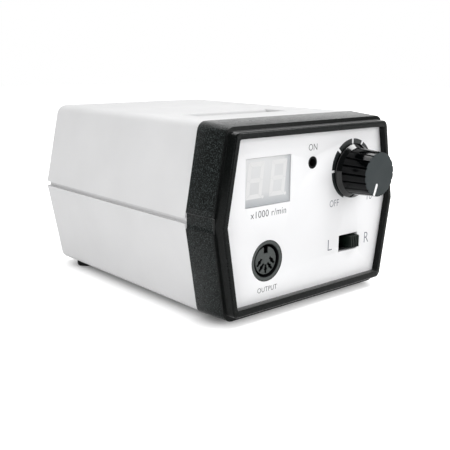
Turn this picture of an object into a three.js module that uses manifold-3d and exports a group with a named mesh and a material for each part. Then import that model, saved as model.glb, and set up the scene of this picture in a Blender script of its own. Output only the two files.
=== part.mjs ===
// Control box of an electric nail drill: a white two-part case with a black bezel, a white front panel
// with display, pilot light, speed knob, round handpiece socket and direction switch, a rear panel with
// mains inlet, fuse, pedal socket and pedal switch, and the transformer and control board inside.
// Millimetres, Z up. X runs to the right seen from the front, Y from the front to the rear.
// While the pieces are made, y = 0 is the front face of the rim and z = 0 the table.

import * as THREE from 'three';
import { mergeVertices } from 'three/addons/utils/BufferGeometryUtils.js';
import Module from 'manifold-3d';

const wasm = await Module();
wasm.setup();

// Case
const footHeight = 2.0;
const lowerHeight = 40.4;
const upperHeight = 39.0;
const bottomHalfWidth = 47.6;
const seamHalfWidth = 55.2;
const topHalfWidth = 46.8;
const bodyLength = 135.2;
const wall = 2.5;
const topCornerRadius = 5.0;
const bottomCornerRadius = 4.0;
const rearEdgeRadius = 1.5;
const seamGroove = 2.2;
const seamGrooveDepth = 1.6;
const tongueLap = 2.0;
const slack = 0.3;
const overrun = 1.0;

// Handpiece rest in the top
const restLength = 53.0;
const restWidth = 14.0;
const restDepth = 3.0;
const restCentreX = -6.0;
const restFromCollar = 26.0;

// Bezel
const rimDepth = 4.55;
const rimBevel = 0.5;
const rimDraft = 0.3;
const collarDepth = 16.0;
const collarProudSideTop = 1.0;
const collarShySideSeam = 0.3;
const collarProudSideBottom = 0.7;
const collarProudTop = 0.1;
const collarProudBottom = 0.2;
const collarTaperSide = 1.2;
const collarTaperTop = 1.2;
const collarTaperBottom = 0.2;
const collarCornerRadius = 4.2;
const bandHeight = 6.8;
const bandRecess = 0.5;
const rimStepSide = 1.4;
const rimStepTop = 1.9;
const rimStepBottom = 2.6;
const rimCornerRadius = 2.6;
const rimFaceSide = 2.3;
const rimFaceTop = 2.6;
const rimFaceBottom = 3.1;
const openingCornerRadius = 0.9;
const bezelTongueHalfWidth = 28.0;
const bezelTongueLength = 6.0;

// Front panel
const panelRecess = 3.05;
const panelThickness = 2.0;
const panelLap = 1.0;
const upperRow = 15.3;

// Display and pilot light
const displayShare = -0.4656;
const displayWidth = 25.0;
const displayHeight = 19.4;
const displayDepth = 8.0;
const displaySetBack = 0.4;
const displayFit = 0.15;
const boardThickness = 1.6;
const displayBoardMargin = 2.4;
const displayBoardOverhang = 6.0;
const ledX = 0.0;
const ledRise = 5.2;
const ledHoleRadius = 2.7;
const ledHolderRadius = 2.6;
const ledHolderFlange = 4.2;
const ledHolderFlangeThickness = 1.2;
const ledRadius = 1.5;
const ledLength = 5.8;
const ledFlangeRadius = 1.7;
const ledFlangeHeight = 1.0;
const ledFit = 0.15;
const ledDomeSteps = 4;

// Speed knob and its potentiometer
const knobShare = 0.4728;
const knobDrop = 0.65;
const knobSkirtRadius = 12.1;
const knobSkirtThickness = 1.2;
const knobSkirtLift = 0.2;
const knobBevelHeight = 1.5;
const knobBaseRadius = 10.45;
const knobFrontRadius = 9.6;
const knobHeight = 15.25;
const knobCapThickness = 1.2;
const knobCapChamfer = 0.3;
const fluteCount = 18;
const fluteDepth = 0.55;
const pointerWidth = 1.3;
const pointerDepth = 0.6;
const pointerInner = 4.1;
const pointerFit = 0.1;
const pointerRestDegrees = -160;
const knobHollowRadius = 8.7;
const knobHollowDepth = 3.9;
const shaftRadius = 3.0;
const shaftInKnob = 7.6;
const bushingRadius = 4.5;
const bushingStandOut = 3.0;
const potRadius = 8.2;
const potLength = 9.0;
const potBoreDepth = 6.5;
const potSwitchWidth = 16.0;
const potSwitchDepth = 7.5;
const washerRadius = 7.2;
const washerThickness = 0.5;
const nutThickness = 2.0;
const potNutRadius = 6.9;

// Round handpiece socket
const socketShare = -0.4647;
const socketDrop = 17.9;
const socketFlangeRadius = 8.55;
const socketFlangeThickness = 0.9;
const socketFlangeSink = 0.1;
const socketFlangeGap = 0.2;
const socketFlangeBevel = 0.3;
const socketBarrelRadius = 7.9;
const socketBoreRadius = 7.1;
const socketBoreDepth = 10.0;
const socketLength = 14.5;
const socketInsertRadius = 5.85;
const socketInsertSetBack = 0.8;
const socketKeyWidth = 2.4;
const socketKeyDepth = 2.8;
const contactCircleRadius = 3.55;
const contactSlotLength = 3.9;
const contactSlotWidth = 1.0;
const contactEyeRadius = 0.8;
const contactSlotDepth = 8.0;
const contactCount = 5;
const contactStepDegrees = 41.5;
const socketNutRadius = 11.0;
const socketNutThickness = 2.5;

// Slide switches, front and rear
const directionShare = 0.4601;
const directionDrop = 18.1;
const directionSlotWidth = 12.7;
const directionSlotHeight = 7.6;
const directionSliderWidth = 6.0;
const directionSliderHeight = 5.5;
const directionTravel = 5.6;
const sliderProud = 2.0;
const sliderRibCount = 5;
const sliderRibDepth = 0.45;
const sliderDepthInBody = 3.9;
const switchFrameThickness = 0.5;
const switchFrameMargin = 3.2;
const switchBodyMargin = 2.0;
const switchBodyDepth = 8.5;
const pedalSwitchDrop = 1.0;
const pedalSlotWidth = 9.4;
const pedalSlotHeight = 5.2;
const pedalSliderWidth = 4.2;
const pedalSliderHeight = 4.2;
const pedalTravel = 4.2;

// Rear panel
const rearLipDepth = 3.2;
const rearLipInset = 5.0;
const rearRibThickness = 1.6;
const rearRowDrop = 20.4;
const ventCount = 7;
const ventPitch = 5.0;
const ventWidth = 2.2;
const ventHeight = 15.0;
const ventRise = 20.0;

// Mains inlet for a figure-eight lead
const inletShare = 0.471;
const inletFlangeWidth = 27.0;
const inletFlangeHeight = 17.0;
const inletFlangeThickness = 1.8;
const inletBodyWidth = 21.0;
const inletBodyHeight = 12.6;
const inletBodyDepth = 17.0;
const inletRecessHalf = 7.3;
const inletRecessRadius = 4.3;
const inletRecessDepth = 14.0;
const inletPinSpacing = 8.6;
const inletPinRadius = 1.2;
const inletPinSetBack = 3.0;
const inletPinTail = 5.0;

// Fuse holder for a 5 by 20 mm fuse
const fuseFromPost = 0.8;
const fuseFlangeRadius = 7.6;
const fuseFlangeThickness = 1.8;
const fuseBarrelRadius = 6.0;
const fuseBarrelLength = 27.0;
const fuseBoreRadius = 4.1;
const fuseBoreFloor = 4.0;
const fuseNutRadius = 8.6;
const fuseNutThickness = 3.0;
const fuseRadius = 2.5;
const fuseLength = 20.0;
const fuseCapRadius = 5.8;
const fuseCapHeight = 5.6;
const fuseCapChamfer = 0.7;
const fuseStemLength = 6.6;
const fuseSocketDepth = 4.6;
const coinSlotWidth = 1.6;
const coinSlotDepth = 1.4;
const coinSlotLength = 8.4;

// Pedal socket
const jackX = 0.0;
const jackBodyWidth = 15.0;
const jackBodyHeight = 12.0;
const jackBodyDepth = 20.0;
const jackBushingRadius = 4.6;
const jackBushingStandOut = 3.2;
const jackBoreRadius = 3.3;
const jackBoreDepth = 20.0;
const jackNutRadius = 6.6;
const jackNutThickness = 2.2;

// Case screws and their posts
const postFromSide = 9.6;
const frontPostFromCollar = 10.5;
const rearPostFromRear = 31.0;
const postRadius = 4.2;
const postHoleRadius = 1.8;
const postCounterRadius = 3.3;
const postCounterDepth = 12.0;
const postPilotDepth = 16.0;
const caseScrewRadius = 1.5;
const caseScrewHeadRadius = 2.9;
const caseScrewHeadHeight = 2.2;
const caseScrewBite = 14.0;

// Feet
const footRadius = 4.0;
const footSink = 0.8;
const footDome = 0.9;
const rearFootFromSide = 5.1;
const rearFootFromRear = 14.7;
const frontFootFromPost = 12.0;

// Transformer
const transformerShare = -0.2941;
const transformerFromCollar = 45.45;
const coreWidth = 41.0;
const coreHeight = 34.0;
const coreStack = 18.0;
const coreLimb = 7.0;
const coreCentreLimb = 13.6;
const coilWall = 6.0;
const padHeight = 4.0;
const padRadius = 4.0;
const cradleInset = 3.0;
const strapThickness = 1.0;
const strapFootLength = 7.4;
const strapWidth = 14.0;

// Control board and its components
const boardWidth = 25.0;
const boardFromSide = 4.6;
const boardFromFrontPost = 4.75;
const boardFromRearPost = 6.0;
const boardStandHeight = 5.5;
const standRadius = 3.0;
const standInset = 3.6;
const smallScrewRadius = 1.1;
const smallScrewHoleRadius = 1.4;
const smallScrewHeadRadius = 2.5;
const smallScrewHeadHeight = 1.6;
const smallScrewLength = 5.0;
const heatsinkLength = 30.0;
const heatsinkHeight = 25.0;
const heatsinkBase = 2.0;
const heatsinkDepth = 7.5;
const heatsinkFins = 6;
const heatsinkFinThickness = 1.2;
const heatsinkFromEdge = 1.0;
const heatsinkFromBoardFront = 22.2;
const transistorFromBoardFront = 16.0;
const transistorWidth = 10.0;
const transistorHeight = 15.0;
const transistorThickness = 4.4;
const transistorTab = 1.3;
const transistorTabShare = 0.6;
const filterCapRadius = 6.5;
const filterCapHeight = 22.0;
const filterCapFromBoardFront = 31.0;
const outputCapRadius = 4.0;
const outputCapHeight = 12.0;
const outputCapFromBoardFront = 18.0;
const capFromBoardSide = 7.6;
const capGroove = 0.5;
const capGrooveRise = 2.0;
const rectifierWidth = 15.0;
const rectifierHeight = 11.0;
const rectifierThickness = 4.0;
const rectifierFromBoardFront = 8.6;
const terminalWidth = 15.0;
const terminalDepth = 8.0;
const terminalHeight = 10.0;
const terminalBays = 3;
const terminalBayWidth = 3.2;
const terminalBayDepth = 3.0;

// Facets of round pieces
const fineSides = 40;
const plainSides = 24;
const smallSides = 14;
const cornerSteps = 5;
const hexSides = 6;
const mergeTolerance = 1e-4;

// Widths, heights and depths worked out from the sizes above
const displayX = displayShare * seamHalfWidth;
const knobX = knobShare * seamHalfWidth;
const socketX = socketShare * seamHalfWidth;
const directionX = directionShare * seamHalfWidth;
const inletX = inletShare * seamHalfWidth;
const transformerX = transformerShare * bottomHalfWidth;
const postX = bottomHalfWidth - postFromSide;
const fuseX = fuseFromPost + fuseBarrelRadius + postRadius - postX;
const rearFootX = bottomHalfWidth - rearFootFromSide;
const caseBottom = footHeight;
const seamZ = caseBottom + lowerHeight;
const caseTop = seamZ + upperHeight;
const shellFront = rimDepth + collarDepth;
const shellRear = bodyLength;
const panelFace = panelRecess;
const panelBack = panelFace + panelThickness;
const floorZ = caseBottom + wall;
const controlZ = seamZ + upperRow;
const knobZ = controlZ - knobDrop;
const socketZ = seamZ - socketDrop;
const socketFace = panelFace + socketFlangeSink;
const socketSeat = socketFace + socketFlangeThickness;
const directionZ = seamZ - directionDrop;
const rearOuter = shellRear - rearLipDepth - slack;
const rearInner = rearOuter - panelThickness;
const rearRowZ = seamZ - rearRowDrop;
const knobFrontY = panelFace - knobHeight;
const fuseCapBackY = rearOuter + fuseFlangeThickness + slack;
const rearmostY = fuseCapBackY + fuseCapHeight;
const centreY = (knobFrontY + rearmostY) / 2;

const whitePlastic = new THREE.MeshStandardMaterial({ color: 0xebebea, roughness: 0.6, metalness: 0 });
const blackPlastic = new THREE.MeshStandardMaterial({ color: 0x1c1e1e, roughness: 0.55, metalness: 0 });
const panelPlastic = new THREE.MeshStandardMaterial({ color: 0xf3f3f4, roughness: 0.4, metalness: 0 });
const knobPlastic = new THREE.MeshStandardMaterial({ color: 0x0b0c0d, roughness: 0.2, metalness: 0 });
const capPlastic = new THREE.MeshStandardMaterial({ color: 0x3d4041, roughness: 0.7, metalness: 0 });
const markPlastic = new THREE.MeshStandardMaterial({ color: 0xf2f2f2, roughness: 0.6, metalness: 0 });
const greyPlastic = new THREE.MeshStandardMaterial({ color: 0x54585a, roughness: 0.5, metalness: 0 });
const rubber = new THREE.MeshStandardMaterial({ color: 0x101010, roughness: 0.9, metalness: 0 });
const displayPlastic = new THREE.MeshStandardMaterial({ color: 0xd2d4d6, roughness: 0.35, metalness: 0 });
const ledPlastic = new THREE.MeshStandardMaterial({ color: 0x5a1c14, roughness: 0.2, metalness: 0 });
const steel = new THREE.MeshStandardMaterial({ color: 0xb5b8ba, roughness: 0.35, metalness: 1 });
const brass = new THREE.MeshStandardMaterial({ color: 0xc9a95a, roughness: 0.35, metalness: 1 });
const aluminium = new THREE.MeshStandardMaterial({ color: 0xa9adb0, roughness: 0.4, metalness: 1 });
const laminations = new THREE.MeshStandardMaterial({ color: 0x6a6d70, roughness: 0.5, metalness: 1 });
const coilTape = new THREE.MeshStandardMaterial({ color: 0xd9b43a, roughness: 0.5, metalness: 0 });
const boardGreen = new THREE.MeshStandardMaterial({ color: 0x1f5b34, roughness: 0.45, metalness: 0 });
const glass = new THREE.MeshStandardMaterial({ color: 0xd8e2e4, roughness: 0.1, metalness: 0 });

const root = new THREE.Group();
root.position.y = -centreY;

// Makes a manifold solid of a closed three.js geometry.
function solid(geometry) {
  const plain = geometry.index ? geometry.toNonIndexed() : geometry.clone();
  for (const name of Object.keys(plain.attributes)) {
    if (name !== 'position') plain.deleteAttribute(name);
  }
  const merged = mergeVertices(plain, mergeTolerance);
  const index = merged.index.array;
  const triangles = [];
  for (let i = 0; i < index.length; i += 3) {
    const [a, b, c] = [index[i], index[i + 1], index[i + 2]];
    if (a !== b && b !== c && c !== a) triangles.push(a, b, c);
  }
  return new wasm.Manifold(new wasm.Mesh({
    numProp: 3,
    vertProperties: new Float32Array(merged.attributes.position.array),
    triVerts: new Uint32Array(triangles),
  }));
}

// Adds a solid to the model as a named mesh.
function piece(name, body, material) {
  const data = body.getMesh();
  const geometry = new THREE.BufferGeometry();
  geometry.setAttribute('position', new THREE.BufferAttribute(new Float32Array(data.vertProperties), 3));
  geometry.setIndex(new THREE.BufferAttribute(new Uint32Array(data.triVerts), 1));
  geometry.computeVertexNormals();
  const mesh = new THREE.Mesh(geometry, material);
  mesh.name = name;
  root.add(mesh);
}

// A box from its lowest to its highest corner.
function block(x0, x1, y0, y1, z0, z1) {
  const geometry = new THREE.BoxGeometry(x1 - x0, y1 - y0, z1 - z0);
  geometry.translate((x0 + x1) / 2, (y0 + y1) / 2, (z0 + z1) / 2);
  return solid(geometry);
}

// A box centred on x and z, between two depths.
function centredBlock(x, z, width, height, y0, y1) {
  return block(x - width / 2, x + width / 2, y0, y1, z - height / 2, z + height / 2);
}

// A turned piece about an axis along Y through x and z; the profile is [radius, y] points.
function turned(x, z, profile, sides) {
  const points = profile.map(([radius, y]) => new THREE.Vector2(radius, y));
  const geometry = new THREE.LatheGeometry(points, sides);
  geometry.translate(x, 0, z);
  const made = solid(geometry);
  return made.volume() < 0 ? solid(flipped(geometry)) : made;
}

// The same geometry with its faces turned over.
function flipped(geometry) {
  const loose = geometry.toNonIndexed();
  const places = loose.attributes.position.array;
  for (let i = 0; i < places.length; i += 9) {
    for (let k = 0; k < 3; k += 1) {
      [places[i + 3 + k], places[i + 6 + k]] = [places[i + 6 + k], places[i + 3 + k]];
    }
  }
  return loose;
}

// A cylinder along Y.
function rod(x, z, radius, y0, y1, sides) {
  return turned(x, z, [[0, y0], [radius, y0], [radius, y1], [0, y1]], sides);
}

// A cylinder along Z.
function post(x, y, radius, z0, z1, sides) {
  const geometry = new THREE.CylinderGeometry(radius, radius, z1 - z0, sides);
  geometry.rotateX(Math.PI / 2);
  geometry.translate(x, y, (z0 + z1) / 2);
  return solid(geometry);
}

// A six-sided cross-section of the case: half-widths at its bottom, seam and top.
function section(bottom, seam, top, zBottom, zTop) {
  return { bottom, seam, top, zBottom, zSeam: seamZ, zTop };
}

// Half-width of a section at a height.
function halfWidthAt(s, z) {
  if (z >= s.zSeam) return s.seam + (s.top - s.seam) * (z - s.zSeam) / (s.zTop - s.zSeam);
  return s.seam + (s.bottom - s.seam) * (s.zSeam - z) / (s.zSeam - s.zBottom);
}

// A section drawn in by amounts at its sides, top and bottom; negative amounts let it out.
function drawnIn(s, side, top = side, bottom = side) {
  const zTop = s.zTop - top;
  const zBottom = s.zBottom + bottom;
  return section(halfWidthAt(s, zBottom) - side, s.seam - side, halfWidthAt(s, zTop) - side, zBottom, zTop);
}

// Points of an arc that rounds the corner at b between a and c.
function roundedCorner(a, b, c, radius) {
  const toA = new THREE.Vector2(a[0] - b[0], a[1] - b[1]).normalize();
  const toC = new THREE.Vector2(c[0] - b[0], c[1] - b[1]).normalize();
  const half = Math.acos(THREE.MathUtils.clamp(toA.dot(toC), -1, 1)) / 2;
  const middle = toA.clone().add(toC).normalize();
  const centre = middle.clone().multiplyScalar(radius / Math.sin(half)).add(new THREE.Vector2(...b));
  const start = new THREE.Vector2(...b).add(toA.multiplyScalar(radius / Math.tan(half))).sub(centre);
  const sweep = Math.PI - 2 * half;
  const points = [];
  for (let i = 0; i <= cornerSteps; i += 1) {
    const spoke = start.clone().rotateAround(new THREE.Vector2(), sweep * i / cornerSteps);
    points.push([centre.x + spoke.x, centre.y + spoke.y]);
  }
  return points;
}

// The outline of a section, anticlockwise from its lower left corner.
// band, where given, replaces the seam corners by a recessed flat of that height.
function outline(s, lowerRadius, upperRadius, band = 0, recess = 0) {
  const lowerLeft = [-s.bottom, s.zBottom];
  const lowerRight = [s.bottom, s.zBottom];
  const upperRight = [s.top, s.zTop];
  const upperLeft = [-s.top, s.zTop];
  const right = [];
  if (band > 0) {
    const below = s.zSeam - band / 2;
    const above = s.zSeam + band / 2;
    const xBelow = halfWidthAt(s, below);
    const xAbove = halfWidthAt(s, above);
    right.push([xBelow, below], [xBelow - recess, below + recess], [xAbove - recess, above - recess], [xAbove, above]);
  } else {
    right.push([s.seam, s.zSeam]);
  }
  const left = right.map(([x, z]) => [-x, z]).reverse();
  return [
    ...roundedCorner(left.at(-1), lowerLeft, lowerRight, lowerRadius),
    ...roundedCorner(lowerLeft, lowerRight, right[0], lowerRadius),
    ...right,
    ...roundedCorner(right.at(-1), upperRight, upperLeft, upperRadius),
    ...roundedCorner(upperRight, upperLeft, left[0], upperRadius),
    ...left,
  ];
}

// A closed solid through outlines of equally many points, each at its own depth.
function loft(rings) {
  const count = rings[0].points.length;
  const places = [];
  for (const ring of rings) {
    for (const [x, z] of ring.points) places.push(x, ring.y, z);
  }
  const index = [];
  for (let r = 0; r + 1 < rings.length; r += 1) {
    for (let i = 0; i < count; i += 1) {
      const a = r * count + i;
      const b = r * count + (i + 1) % count;
      index.push(a, b + count, b, a, a + count, b + count);
    }
  }
  const capOf = (ring) => THREE.ShapeUtils.triangulateShape(
    ring.points.map(([x, z]) => new THREE.Vector2(x, z)), []);
  for (const [a, b, c] of capOf(rings[0])) index.push(a, b, c);
  const last = (rings.length - 1) * count;
  for (const [a, b, c] of capOf(rings.at(-1))) index.push(last + a, last + c, last + b);
  const geometry = new THREE.BufferGeometry();
  geometry.setAttribute('position', new THREE.Float32BufferAttribute(places, 3));
  geometry.setIndex(index);
  return solid(geometry);
}

// A straight solid of one outline between two depths.
function prism(points, y0, y1) {
  return loft([{ y: y0, points }, { y: y1, points }]);
}

// An outline of two half rounds joined by straights, along X.
function stadium(x, z, half, radius, steps) {
  const points = [];
  const straight = half - radius;
  for (let i = 0; i <= steps; i += 1) {
    const angle = -Math.PI / 2 + Math.PI * i / steps;
    points.push([x + straight + radius * Math.cos(angle), z + radius * Math.sin(angle)]);
  }
  for (let i = 0; i <= steps; i += 1) {
    const angle = Math.PI / 2 + Math.PI * i / steps;
    points.push([x - straight + radius * Math.cos(angle), z + radius * Math.sin(angle)]);
  }
  return points;
}

const caseSection = section(bottomHalfWidth, seamHalfWidth, topHalfWidth, caseBottom, caseTop);
const frontPostY = shellFront + frontPostFromCollar;
const rearPostY = shellRear - rearPostFromRear;
const postPlaces = [
  ['front_left', -postX, frontPostY],
  ['front_right', postX, frontPostY],
  ['rear_left', -postX, rearPostY],
  ['rear_right', postX, rearPostY],
];
const footPlaces = [
  ['front_left', -postX, frontPostY + frontFootFromPost],
  ['front_right', postX, frontPostY + frontFootFromPost],
  ['rear_left', -rearFootX, shellRear - rearFootFromRear],
  ['rear_right', rearFootX, shellRear - rearFootFromRear],
];
const transformerY = shellFront + transformerFromCollar;
const boardMaxX = bottomHalfWidth - boardFromSide;
const boardMinX = boardMaxX - boardWidth;
const boardMinY = frontPostY + postRadius + boardFromFrontPost;
const boardMaxY = rearPostY - postRadius - boardFromRearPost;
const boardPadZ = floorZ + boardStandHeight;
const boardTopZ = boardPadZ + boardThickness;
const standPlaces = [
  [boardMinX + standInset, boardMinY + standInset],
  [boardMaxX - standInset, boardMaxY - standInset],
  [boardMaxX - standInset, boardMinY + standInset],
  [boardMinX + standInset, boardMaxY - standInset],
];
const screwedStands = 2;
const padTopZ = floorZ + padHeight;
const strapHalf = coreWidth / 2 + slack + strapThickness;
const strapScrewX = strapHalf + strapFootLength / 2;

// Both halves of the case in one, hollow, with the channel that traps the rear panel.
function hollowCase() {
  const skin = (inset) => outline(drawnIn(caseSection, inset), bottomCornerRadius - inset / 2,
    topCornerRadius - inset / 2);
  const rings = [{ y: shellFront, points: outline(caseSection, bottomCornerRadius, topCornerRadius) }];
  for (let i = 0; i <= cornerSteps; i += 1) {
    const angle = Math.PI / 2 * i / cornerSteps;
    const inset = rearEdgeRadius * (1 - Math.cos(angle));
    rings.push({ y: shellRear - rearEdgeRadius + rearEdgeRadius * Math.sin(angle), points: skin(inset) });
  }
  const channelFront = rearInner - slack;
  const channelRear = rearOuter + slack;
  const ribFront = channelFront - rearRibThickness;
  return loft(rings)
    .subtract(prism(skin(wall), shellFront - overrun, ribFront))
    .subtract(prism(skin(rearLipInset), ribFront - overrun, shellRear + overrun))
    .subtract(prism(skin(wall), channelFront, channelRear));
}

// Everything of a solid between two heights.
function between(body, z0, z1) {
  const reach = seamHalfWidth + overrun;
  return body.intersect(block(-reach, reach, -overrun, shellRear + overrun, z0, z1));
}

const tongueBottom = seamZ - seamGroove / 2;
const upperEdge = seamZ + seamGroove / 2;
const tongueTop = upperEdge + tongueLap;

function makeUpperShell(hollow) {
  const rebateSkin = outline(drawnIn(caseSection, seamGrooveDepth - slack), bottomCornerRadius, topCornerRadius);
  const rebate = between(prism(rebateSkin, shellFront - overrun, shellRear - seamGrooveDepth + slack),
    upperEdge - overrun, tongueTop + slack);
  let shell = between(hollow, upperEdge, caseTop + overrun).subtract(rebate);
  for (const [, x, y] of postPlaces) {
    shell = shell.add(post(x, y, postRadius, tongueTop + slack, caseTop - wall / 2, smallSides));
  }
  const restRadius = (restWidth * restWidth / 4 + restDepth * restDepth) / (2 * restDepth);
  const restY = shellFront + restFromCollar;
  const restZ = caseTop + restRadius - restDepth;
  const trough = (radius, half) => {
    const geometry = new THREE.CylinderGeometry(radius, radius, 2 * half, fineSides);
    geometry.rotateZ(Math.PI / 2);
    geometry.translate(restCentreX, restY, restZ);
    return solid(geometry);
  };
  const pan = between(trough(restRadius + wall, restLength / 2 + wall), seamZ, caseTop - wall / 2);
  shell = shell.add(pan).subtract(trough(restRadius, restLength / 2));
  for (const [, x, y] of postPlaces) {
    const pilotTop = tongueTop + slack + postPilotDepth;
    shell = shell.subtract(post(x, y, postHoleRadius, tongueTop - overrun, pilotTop, smallSides));
  }
  piece('upper_shell', shell, whitePlastic);
}

function makeLowerShell(hollow) {
  const tongueSkin = outline(drawnIn(caseSection, seamGrooveDepth), bottomCornerRadius, topCornerRadius);
  const cavity = prism(outline(drawnIn(caseSection, wall), bottomCornerRadius, topCornerRadius),
    shellFront - overrun, rearInner - slack - rearRibThickness);
  const lip = prism(outline(drawnIn(caseSection, rearLipInset), bottomCornerRadius, topCornerRadius),
    shellFront, shellRear + overrun);
  const channel = prism(outline(drawnIn(caseSection, wall), bottomCornerRadius, topCornerRadius),
    rearInner - slack, rearOuter + slack);
  const tongue = between(prism(tongueSkin, shellFront, shellRear - seamGrooveDepth)
    .subtract(cavity).subtract(lip).subtract(channel), tongueBottom - overrun, tongueTop);
  let shell = between(hollow, caseBottom - overrun, tongueBottom).add(tongue);
  for (const [, x, y] of postPlaces) {
    shell = shell.add(post(x, y, postRadius, caseBottom + wall / 2, tongueTop, smallSides));
  }
  for (const [x, y] of standPlaces) {
    shell = shell.add(post(x, y, standRadius, caseBottom + wall / 2, boardPadZ, smallSides));
  }
  for (const side of [-1, 1]) {
    const x = transformerX + side * strapScrewX;
    shell = shell.add(post(x, transformerY, padRadius, caseBottom + wall / 2, padTopZ, smallSides));
    shell = shell.subtract(post(x, transformerY, smallScrewHoleRadius, floorZ, padTopZ + overrun, smallSides));
  }
  const cradleHalf = coreWidth / 2 - cradleInset;
  const cradleDepth = coreStack / 2 - cradleInset;
  shell = shell.add(block(transformerX - cradleHalf, transformerX + cradleHalf,
    transformerY - cradleDepth, transformerY + cradleDepth, caseBottom + wall / 2, padTopZ));
  for (const [, x, y] of postPlaces) {
    shell = shell
      .subtract(post(x, y, postHoleRadius, caseBottom - overrun, tongueTop + overrun, smallSides))
      .subtract(post(x, y, postCounterRadius, caseBottom - overrun, caseBottom + postCounterDepth, smallSides));
  }
  for (const [x, y] of standPlaces) {
    shell = shell.subtract(post(x, y, smallScrewHoleRadius, floorZ, boardPadZ + overrun, smallSides));
  }
  for (const [, x, y] of footPlaces) {
    shell = shell.subtract(post(x, y, footRadius + slack, caseBottom - overrun, caseBottom + footSink, plainSides));
  }
  piece('lower_shell', shell, whitePlastic);
}

const collarRearSection = section(bottomHalfWidth + collarProudSideBottom, seamHalfWidth - collarShySideSeam,
  topHalfWidth + collarProudSideTop, caseBottom - collarProudBottom, caseTop + collarProudTop);
const collarFrontSection = drawnIn(collarRearSection, collarTaperSide, collarTaperTop, collarTaperBottom);
const rimSection = drawnIn(collarFrontSection, rimStepSide, rimStepTop, rimStepBottom);
const openingSection = drawnIn(rimSection, rimFaceSide, rimFaceTop, rimFaceBottom);
const panelSection = drawnIn(openingSection, -panelLap);

function makeBezel() {
  const collar = loft([
    { y: rimDepth, points: outline(collarFrontSection, collarCornerRadius, collarCornerRadius, bandHeight, bandRecess) },
    { y: shellFront, points: outline(collarRearSection, collarCornerRadius, collarCornerRadius, bandHeight, bandRecess) },
  ]);
  const rimOutline = (inset) => outline(drawnIn(rimSection, inset), rimCornerRadius, rimCornerRadius);
  const rim = loft([
    { y: 0, points: rimOutline(rimBevel) },
    { y: rimBevel, points: rimOutline(0) },
    { y: rimDepth + overrun, points: rimOutline(-rimDraft) },
  ]);
  const opening = outline(openingSection, openingCornerRadius, openingCornerRadius);
  const pocket = outline(drawnIn(panelSection, -slack), openingCornerRadius, openingCornerRadius);
  const tongueOf = (z0, z1) => block(-bezelTongueHalfWidth, bezelTongueHalfWidth,
    shellFront - overrun, shellFront + bezelTongueLength, z0, z1);
  const pocketTop = panelSection.zTop + slack;
  const pocketBottom = panelSection.zBottom - slack;
  const bezel = collar.add(rim)
    .add(tongueOf(pocketTop, caseTop - wall - slack))
    .add(tongueOf(floorZ + slack, pocketBottom))
    .subtract(prism(opening, -overrun, panelFace + overrun))
    .subtract(prism(pocket, panelFace, shellFront + bezelTongueLength + overrun));
  piece('front_bezel', bezel, blackPlastic);
}

const displayFaceY = panelFace + displaySetBack;
const displayBoardY = displayFaceY + displayDepth;
const ledZ = controlZ + ledRise;
const displayBoardMinX = displayX - displayWidth / 2 - displayBoardMargin;
const displayBoardMaxX = ledX + ledHolderFlange + slack;
const displayBoardMinZ = controlZ - displayHeight / 2 - displayBoardMargin;
const displayBoardMaxZ = controlZ + displayHeight / 2 + displayBoardOverhang;
const displayPostRadius = displayBoardMargin - slack;
const displayPostX = (displayX + displayWidth / 2 + ledX - ledHolderFlange) / 2;
const displayPosts = [
  [displayPostX, displayBoardMinZ + displayPostRadius],
  [displayPostX, displayBoardMaxZ - displayPostRadius],
];

function makeFrontPanel() {
  let panel = prism(outline(panelSection, openingCornerRadius, openingCornerRadius), panelFace, panelBack);
  for (const [x, z] of displayPosts) {
    panel = panel.add(rod(x, z, displayPostRadius, panelBack - panelThickness / 2, displayBoardY, smallSides));
  }
  const through = [panelFace - overrun, panelBack + overrun];
  panel = panel
    .subtract(centredBlock(displayX, controlZ, displayWidth + 2 * displayFit, displayHeight + 2 * displayFit, ...through))
    .subtract(rod(ledX, ledZ, ledHoleRadius, ...through, plainSides))
    .subtract(rod(knobX, knobZ, bushingRadius + slack, ...through, plainSides))
    .subtract(rod(socketX, socketZ, socketBarrelRadius + slack, ...through, fineSides))
    .subtract(rod(socketX, socketZ, socketFlangeRadius + socketFlangeGap, panelFace - overrun, socketSeat, fineSides))
    .subtract(centredBlock(directionX, directionZ, directionSlotWidth, directionSlotHeight, ...through));
  piece('front_panel', panel, panelPlastic);
}

function makeDisplay() {
  piece('display_module', centredBlock(displayX, controlZ, displayWidth, displayHeight, displayFaceY, displayBoardY),
    displayPlastic);
  piece('display_board', block(displayBoardMinX, displayBoardMaxX, displayBoardY, displayBoardY + boardThickness,
    displayBoardMinZ, displayBoardMaxZ), boardGreen);
  const tipY = displayBoardY - ledLength;
  const profile = [[0, tipY]];
  for (let i = 1; i <= ledDomeSteps; i += 1) {
    const angle = Math.PI / 2 * i / ledDomeSteps;
    profile.push([ledRadius * Math.sin(angle), tipY + ledRadius * (1 - Math.cos(angle))]);
  }
  const flangeY = displayBoardY - ledFlangeHeight;
  profile.push([ledRadius, flangeY], [ledFlangeRadius, flangeY], [ledFlangeRadius, displayBoardY], [0, displayBoardY]);
  piece('power_led', turned(ledX, ledZ, profile, smallSides), ledPlastic);
  const bore = ledFlangeRadius + ledFit;
  const flangeEnd = panelBack + ledHolderFlangeThickness;
  piece('led_holder', turned(ledX, ledZ, [[bore, panelFace], [ledHolderRadius, panelFace],
    [ledHolderRadius, panelBack], [ledHolderFlange, panelBack], [ledHolderFlange, flangeEnd],
    [ledHolderRadius, flangeEnd], [ledHolderRadius, displayBoardY], [bore, displayBoardY], [bore, panelFace]],
  plainSides), blackPlastic);
}

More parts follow.
